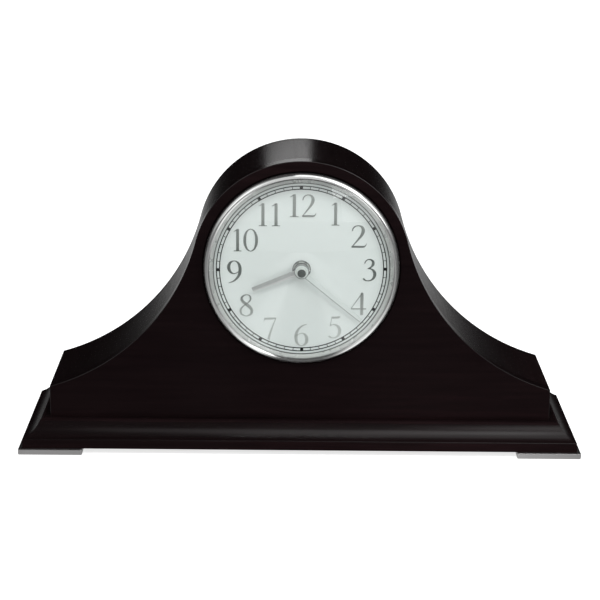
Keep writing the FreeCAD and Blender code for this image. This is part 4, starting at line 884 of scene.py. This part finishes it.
def make_retainer():
    """The ring under the glass, with a lip that curves down to the dial."""
    lip = dial_face - RETAINER_LIP
    profile = [(DIAL_VISIBLE_RADIUS, dial_face), (GLASS_RADIUS, dial_face), (GLASS_RADIUS, GLASS_RIM_Y),
               (GLASS_INNER_RADIUS, GLASS_RIM_Y)]
    for step in range(1, RETAINER_STEPS + 1):
        share = step / RETAINER_STEPS
        radius = GLASS_INNER_RADIUS + (DIAL_VISIBLE_RADIUS - GLASS_INNER_RADIUS) * share
        profile.append((radius, GLASS_RIM_Y + (lip - GLASS_RIM_Y) * share ** RETAINER_CURVE))
    bm = bmesh.new()
    turn(bm, profile, RING_STEPS)
    return finish_mesh("retaining_ring", bm, "case", satin_metal,
                       ["glass_retainer"], RING_SHARP_ANGLE)


def make_track():
    """The dial's print: two circles with a tick each minute and a block each five; and a painted shadow
    line at the dial's edge.
    """
    bm = bmesh.new()
    front = dial_face - PRINT_HEIGHT
    for radius, width in ((TRACK_OUTER, TRACK_LINE), (TRACK_INNER, TRACK_LINE),
                          (EDGE_SHADOW_RADIUS, EDGE_SHADOW_WIDTH)):
        turn(bm, [(radius - width / 2, dial_face), (radius + width / 2, dial_face),
                  (radius + width / 2, front), (radius - width / 2, front)], TRACK_STEPS)
    for minute in range(MINUTES):
        angle = 2 * math.pi * minute / MINUTES + DIAL_TURN
        whole = minute % MINUTES_PER_HOUR_MARK == 0
        half = (SQUARE_WIDTH if whole else TICK_WIDTH) / 2
        across = Vector((math.cos(angle), 0.0, -math.sin(angle)))
        out = Vector((math.sin(angle), 0.0, math.cos(angle)))
        centre = Vector((0.0, 0.0, dial_z))
        corners = [centre + out * TRACK_INNER - across * half,
                   centre + out * TRACK_INNER + across * half,
                   centre + out * TRACK_OUTER + across * half,
                   centre + out * TRACK_OUTER - across * half]
        lower = ring_of(bm, [(corner.x, dial_face, corner.z) for corner in corners])
        upper = ring_of(bm, [(corner.x, front - TICK_PROUD, corner.z) for corner in corners])
        bridge(bm, lower, upper)
        bm.faces.new(lower)
        bm.faces.new(upper)
    # The ring at the dial's edge takes the second material: painted shadow.
    paint_beyond(bm, EDGE_SHADOW_RADIUS - EDGE_SHADOW_WIDTH)
    return finish_mesh("minute_track", bm, "case", print_ink, others=[dial_edge_painted_shadow])


# Numerals: strokes of (x, height, half width) points, as shares of a numeral's height
GLYPH_SHARES = {
    "0": [[(0.33, 0.985, 0.016), (0.17, 0.90, 0.036), (0.075, 0.70, 0.060), (0.055, 0.50, 0.066),
           (0.075, 0.30, 0.060), (0.17, 0.10, 0.036), (0.33, 0.015, 0.016), (0.49, 0.10, 0.036),
           (0.585, 0.30, 0.060), (0.605, 0.50, 0.066), (0.585, 0.70, 0.060), (0.49, 0.90, 0.036),
           (0.33, 0.985, 0.016)]],
    "1": [[(0.21, 0.99, 0.060), (0.21, 0.80, 0.068), (0.21, 0.20, 0.068), (0.21, 0.06, 0.074),
           (0.21, 0.02, 0.120)],
          [(0.03, 0.020, 0.017), (0.21, 0.020, 0.017), (0.39, 0.020, 0.017)],
          [(0.03, 0.870, 0.010), (0.12, 0.915, 0.022), (0.21, 0.965, 0.030)]],
    "2": [[(0.055, 0.735, 0.020), (0.075, 0.83, 0.026), (0.15, 0.925, 0.026), (0.28, 0.972, 0.024),
           (0.41, 0.925, 0.044), (0.475, 0.81, 0.062), (0.470, 0.68, 0.066), (0.40, 0.52, 0.052),
           (0.27, 0.335, 0.034), (0.14, 0.165, 0.022), (0.04, 0.045, 0.014)],
          [(0.03, 0.042, 0.036), (0.20, 0.046, 0.044), (0.40, 0.046, 0.044), (0.52, 0.055, 0.036),
           (0.585, 0.105, 0.018), (0.62, 0.19, 0.006)]],
    "3": [[(0.075, 0.785, 0.018), (0.115, 0.88, 0.022), (0.21, 0.960, 0.020), (0.33, 0.955, 0.034),
           (0.415, 0.87, 0.054), (0.420, 0.75, 0.056), (0.35, 0.635, 0.036), (0.20, 0.555, 0.014)],
          [(0.20, 0.555, 0.014), (0.34, 0.545, 0.026), (0.455, 0.46, 0.052), (0.500, 0.31, 0.066),
           (0.455, 0.145, 0.052), (0.33, 0.040, 0.030), (0.18, 0.020, 0.022), (0.065, 0.075, 0.034),
           (0.030, 0.125, 0.030)]],
    "4": [[(0.465, 0.99, 0.030), (0.465, 0.90, 0.062), (0.465, 0.50, 0.062), (0.465, 0.01, 0.062)],
          [(0.485, 0.98, 0.020), (0.25, 0.625, 0.016), (0.03, 0.290, 0.016)],
          [(0.02, 0.275, 0.026), (0.33, 0.275, 0.026), (0.64, 0.275, 0.026)]],
    "5": [[(0.135, 0.935, 0.044), (0.30, 0.935, 0.046), (0.44, 0.950, 0.040), (0.50, 0.985, 0.010)],
          [(0.150, 0.960, 0.014), (0.115, 0.76, 0.014), (0.080, 0.565, 0.014)],
          [(0.080, 0.565, 0.012), (0.19, 0.625, 0.018), (0.33, 0.600, 0.038), (0.445, 0.49, 0.060),
           (0.485, 0.33, 0.066), (0.44, 0.155, 0.050), (0.32, 0.045, 0.030), (0.18, 0.018, 0.022),
           (0.065, 0.065, 0.034), (0.030, 0.115, 0.028)]],
    "6": [[(0.52, 0.985, 0.010), (0.36, 0.925, 0.026), (0.20, 0.785, 0.044), (0.095, 0.585, 0.060),
           (0.075, 0.37, 0.064), (0.110, 0.180, 0.054), (0.20, 0.055, 0.032), (0.315, 0.015, 0.018),
           (0.445, 0.075, 0.044), (0.515, 0.20, 0.062), (0.520, 0.35, 0.064), (0.465, 0.49, 0.050),
           (0.355, 0.570, 0.026), (0.23, 0.555, 0.018), (0.10, 0.46, 0.016)]],
    "7": [[(0.055, 0.925, 0.040), (0.25, 0.930, 0.044), (0.45, 0.935, 0.040), (0.575, 0.950, 0.022)],
          [(0.075, 0.950, 0.014), (0.050, 0.87, 0.014), (0.020, 0.785, 0.008)],
          [(0.580, 0.965, 0.012), (0.48, 0.74, 0.022), (0.365, 0.44, 0.038), (0.29, 0.20, 0.050),
           (0.245, 0.01, 0.056)]],
    "8": [[(0.31, 0.982, 0.016), (0.17, 0.915, 0.036), (0.115, 0.79, 0.052), (0.17, 0.665, 0.060),
           (0.31, 0.545, 0.066), (0.45, 0.415, 0.064), (0.525, 0.27, 0.056), (0.485, 0.11, 0.042),
           (0.31, 0.016, 0.016)],
          [(0.31, 0.982, 0.016), (0.425, 0.935, 0.026), (0.475, 0.82, 0.036), (0.435, 0.69, 0.032),
           (0.32, 0.575, 0.018), (0.17, 0.45, 0.028), (0.080, 0.29, 0.044), (0.115, 0.11, 0.036),
           (0.31, 0.016, 0.016)]],
}
NINE_WIDTH_SHARE = 0.60
GLYPH_SHARES["9"] = [[(NINE_WIDTH_SHARE - x, 1.0 - height, half) for x, height, half in points]
                     for points in GLYPH_SHARES["6"]]
GLYPH_WIDTH_SHARES = {"0": 0.66, "1": 0.42, "2": 0.64}
GLYPH_GAP_SHARES = {10: 0.07, 11: 0.16, 12: 0.09}


def smooth_path(points):
    """Catmull-Rom points through a stroke's knots: place and half width together."""
    knots = [Vector(point) for point in points]
    closed = points[0] == points[-1]
    lead = knots[-2] if closed else 2 * knots[0] - knots[1]
    tail = knots[1] if closed else 2 * knots[-1] - knots[-2]
    knots = [lead] + knots + [tail]
    path = []
    for before, start, end, after in zip(knots, knots[1:], knots[2:], knots[3:]):
        for step in range(STROKE_STEPS):
            t = step / STROKE_STEPS
            path.append(0.5 * ((2 * start) + (end - before) * t
                               + (2 * before - 5 * start + 4 * end - after) * t ** 2
                               + (3 * start - before - 3 * end + after) * t ** 3))
    path.append(knots[-2])
    return path


def stroke(bm, points, origin, size):
    """A raised stroke with chamfered sides, on the dial's face."""
    path = smooth_path(points)
    rows = []
    for index, knot in enumerate(path):
        before = path[max(index - 1, 0)]
        after = path[min(index + 1, len(path) - 1)]
        along = Vector((after.x - before.x, after.y - before.y)).normalized()
        side = Vector((-along.y, along.x))
        half = max(knot.z, LEAST_HALF_SHARE) * size
        top = max(half - NUMERAL_BEVEL, half * STROKE_TOP_SHARE)
        centre = Vector((knot.x, knot.y)) * size
        row = []
        for reach, y in ((half, 0.0), (top, -NUMERAL_THICKNESS), (-top, -NUMERAL_THICKNESS),
                         (-half, 0.0)):
            place = centre + side * reach
            row.append(bm.verts.new((origin.x + place.x, dial_face + y, origin.z + place.y)))
        rows.append(row)
    for first, second in zip(rows, rows[1:]):
        bridge(bm, first, second)
    bm.faces.new(rows[0])
    bm.faces.new(rows[-1])


def make_numeral(hour):
    """A numeral's strokes, drawn side by side and then fitted to its place on the dial."""
    x, z, width = (value * MM for value in NUMERALS_MM[hour])
    bm = bmesh.new()
    place = Vector((0.0, 0.0, 0.0))
    for sign in str(hour):
        for points in GLYPH_SHARES[sign]:
            stroke(bm, points, place, NUMERAL_HEIGHT)
        place.x += (GLYPH_WIDTH_SHARES.get(sign, 0.0) + GLYPH_GAP_SHARES.get(hour, 0.0)) * NUMERAL_HEIGHT
    across = [vert.co.x for vert in bm.verts]
    up = [vert.co.z for vert in bm.verts]
    for vert in bm.verts:
        share_x = (vert.co.x - min(across)) / (max(across) - min(across))
        share_z = (vert.co.z - min(up)) / (max(up) - min(up))
        vert.co.x = x + (share_x - 0.5) * width
        vert.co.z = dial_z + z + (share_z - 0.5) * NUMERAL_HEIGHT
    return finish_mesh("numeral_%d" % hour, bm, "case", numeral_metal,
                       angle=NUMERAL_SHARP_ANGLE)


# The CAD pieces that stay as they are
CARRIED = {
    wood_x: ["back_panel", "door_panel"],
    inner_wood: ["glue_blocks"],
    steel: ["case_screws", "foot_screws", "bezel_screws", "cover_screws", "speaker_screws",
            "dial_pan", "motor_core", "contact_plates", "contact_springs", "strike_plate"],
    dial_paint_painted_shade: ["dial_plate"],
    pad_rubber: ["foot_pads", "movement_seal"],
    brass: ["centre_arbor", "hinge_case_leaves", "hinge_door_leaves", "hinge_pins", "door_knob"],
    hour_paint: ["hour_hand"],
    minute_paint_painted_shade: ["minute_hand"],
    hub_metal: ["bush_nut"],
    washer_painted_edge_shade: ["bush_washer"],
    cap_metal: ["hand_cap"],
    pale_plastic: ["hour_wheel", "motion_wheel", "train_box", "melody_switch", "night_switch"],
    knob_plastic: ["set_knob", "volume_knob"],
    black_plastic: ["movement_housing", "movement_cover", "magnet_catch", "cable_clips"],
    red_plastic: ["demo_button"],
    board_resin: ["circuit_board"],
    copper: ["motor_coil"],
    cell_wrap: ["left_cell", "right_cell"],
    speaker_paint: ["speaker_frame"],
    cone_paper: ["speaker_cone"],
    magnet_grey: ["speaker_magnet"],
    lead_sheath: ["speaker_lead"],
}


def dress_carried():
    """Give each carried piece its material."""
    for surface, names in CARRIED.items():
        for name in names:
            mesh = nodes[name].data
            mesh.materials.clear()
            mesh.materials.append(surface)


# Studio
def make_camera():
    """The photograph's viewpoint: turned right by the yaw, down by the pitch and rolled."""
    yaw, pitch, roll = CAMERA_YAW, CAMERA_PITCH, CAMERA_ROLL
    ahead = Vector((math.sin(yaw) * math.cos(pitch), math.cos(yaw) * math.cos(pitch), -math.sin(pitch)))
    right = Vector((math.cos(yaw), -math.sin(yaw), 0.0))
    up = right.cross(ahead)
    side = right * math.cos(roll) + up * math.sin(roll)
    top = up * math.cos(roll) - right * math.sin(roll)
    data = bpy.data.cameras.new("camera")
    data.lens = CAMERA_LENS
    data.sensor_width = CAMERA_SENSOR
    data.clip_start, data.clip_end = CAMERA_CLIP
    camera = bpy.data.objects.new("camera", data)
    bpy.context.scene.collection.objects.link(camera)
    turned = Matrix((side, top, -ahead)).transposed().to_4x4()
    camera.matrix_world = Matrix.Translation(CAMERA_PLACE) @ turned
    bpy.context.scene.camera = camera


def make_light(name, kind, place, target, size, strength):
    """A rectangular light. A card is lit by its area, so that mirrors see it at its brightness."""
    data = bpy.data.lights.new(name, "AREA")
    data.shape = "RECTANGLE"
    data.size, data.size_y = size
    data.energy = strength * math.pi * size[0] * size[1] if kind == "card" else strength
    lamp = bpy.data.objects.new(name, data)
    bpy.context.scene.collection.objects.link(lamp)
    lamp.location = place
    lamp.rotation_euler = (Vector(target) - Vector(place)).to_track_quat("-Z", "Y").to_euler()
    for ray in UNSEEN_BY[kind]:
        setattr(lamp, "visible_" + ray, False)


def seen_directly(tree, path):
    """1 where a ray comes from the camera or through glass, otherwise 0."""
    return maths(tree, "MAXIMUM", path.outputs["Is Camera Ray"], path.outputs["Is Transmission Ray"])


def make_world():
    """White for the camera, soft light for surfaces. Mirrors see a pale room, dark behind the clock."""
    world = bpy.data.worlds.new("studio")
    bpy.context.scene.world = world
    world.use_nodes = True
    tree = world.node_tree
    axes = axes_of(tree, "Generated")
    axes["X"] = maths(tree, "ABSOLUTE", axes["X"])
    glow = grey_ramps(tree, axes, ROOM_GLOWS)
    room = multiplied(tree, multiplied(tree, glow["height"], glow["depth"]), glow["width"])
    path = add(tree, "ShaderNodeLightPath")
    indirect = blended(tree, "MIX", ROOM_LIGHT, room, path.outputs["Is Glossy Ray"])
    seen = blended(tree, "MIX", indirect, WHITE, seen_directly(tree, path))
    tree.links.new(seen, tree.nodes["Background"].inputs["Color"])


def floor_glow(tree):
    """What mirrors see of the floor: two bright patches in front, and a bright strip far behind."""
    glow = grey_ramps(tree, axes_of(tree), FLOOR_GLOWS)
    front = blended(tree, "LIGHTEN", glow["patches"], multiplied(tree, glow["far"], glow["middle"]))
    behind = multiplied(tree, glow["across"], glow["along"])
    return blended(tree, "ADD", multiplied(tree, front, glow["ahead"]),
                   multiplied(tree, behind, glow["back"]))


def white_floor():
    """White with a soft shadow for the camera and for surfaces, and the glow for mirrors."""
    made, tree, bsdf = material("white_floor")
    bsdf.inputs["Base Color"].default_value = FLOOR_TONE
    bsdf.inputs["Roughness"].default_value = 0.9
    bsdf.inputs["Specular IOR Level"].default_value = 0.0
    bsdf.inputs["Emission Color"].default_value = WHITE
    path = add(tree, "ShaderNodeLightPath")
    lift = maths(tree, "MULTIPLY", seen_directly(tree, path), FLOOR_LIFT)
    tree.links.new(lift, bsdf.inputs["Emission Strength"])
    mirror = add(tree, "ShaderNodeEmission")
    tree.links.new(floor_glow(tree), mirror.inputs["Color"])
    mixed_shader(tree, path.outputs["Is Glossy Ray"], bsdf.outputs[0], mirror.outputs[0])
    return made


def make_floor():
    """A plain white floor just under the clock."""
    bm = bmesh.new()
    bm.faces.new([bm.verts.new((x, y, -FLOOR_DROP)) for x, y in FLOOR_CORNERS])
    mesh = bpy.data.meshes.new("floor")
    bm.to_mesh(mesh)
    bm.free()
    floor = bpy.data.objects.new("floor", mesh)
    bpy.context.scene.collection.objects.link(floor)
    mesh.materials.append(white_floor())


# The whole scene
make_front_panel()
make_top_wrap()
make_plinth()
for foot in ("front_left_foot", "front_right_foot", "rear_left_foot", "rear_right_foot"):
    make_foot(foot)
make_bezel()
make_crystal()
make_retainer()
make_track()
for hour in NUMERALS_MM:
    make_numeral(hour)
dress_carried()

make_camera()
make_world()
make_floor()
for light in LIGHTS:
    make_light(*light)
bpy.context.scene.view_settings.view_transform = "Standard"
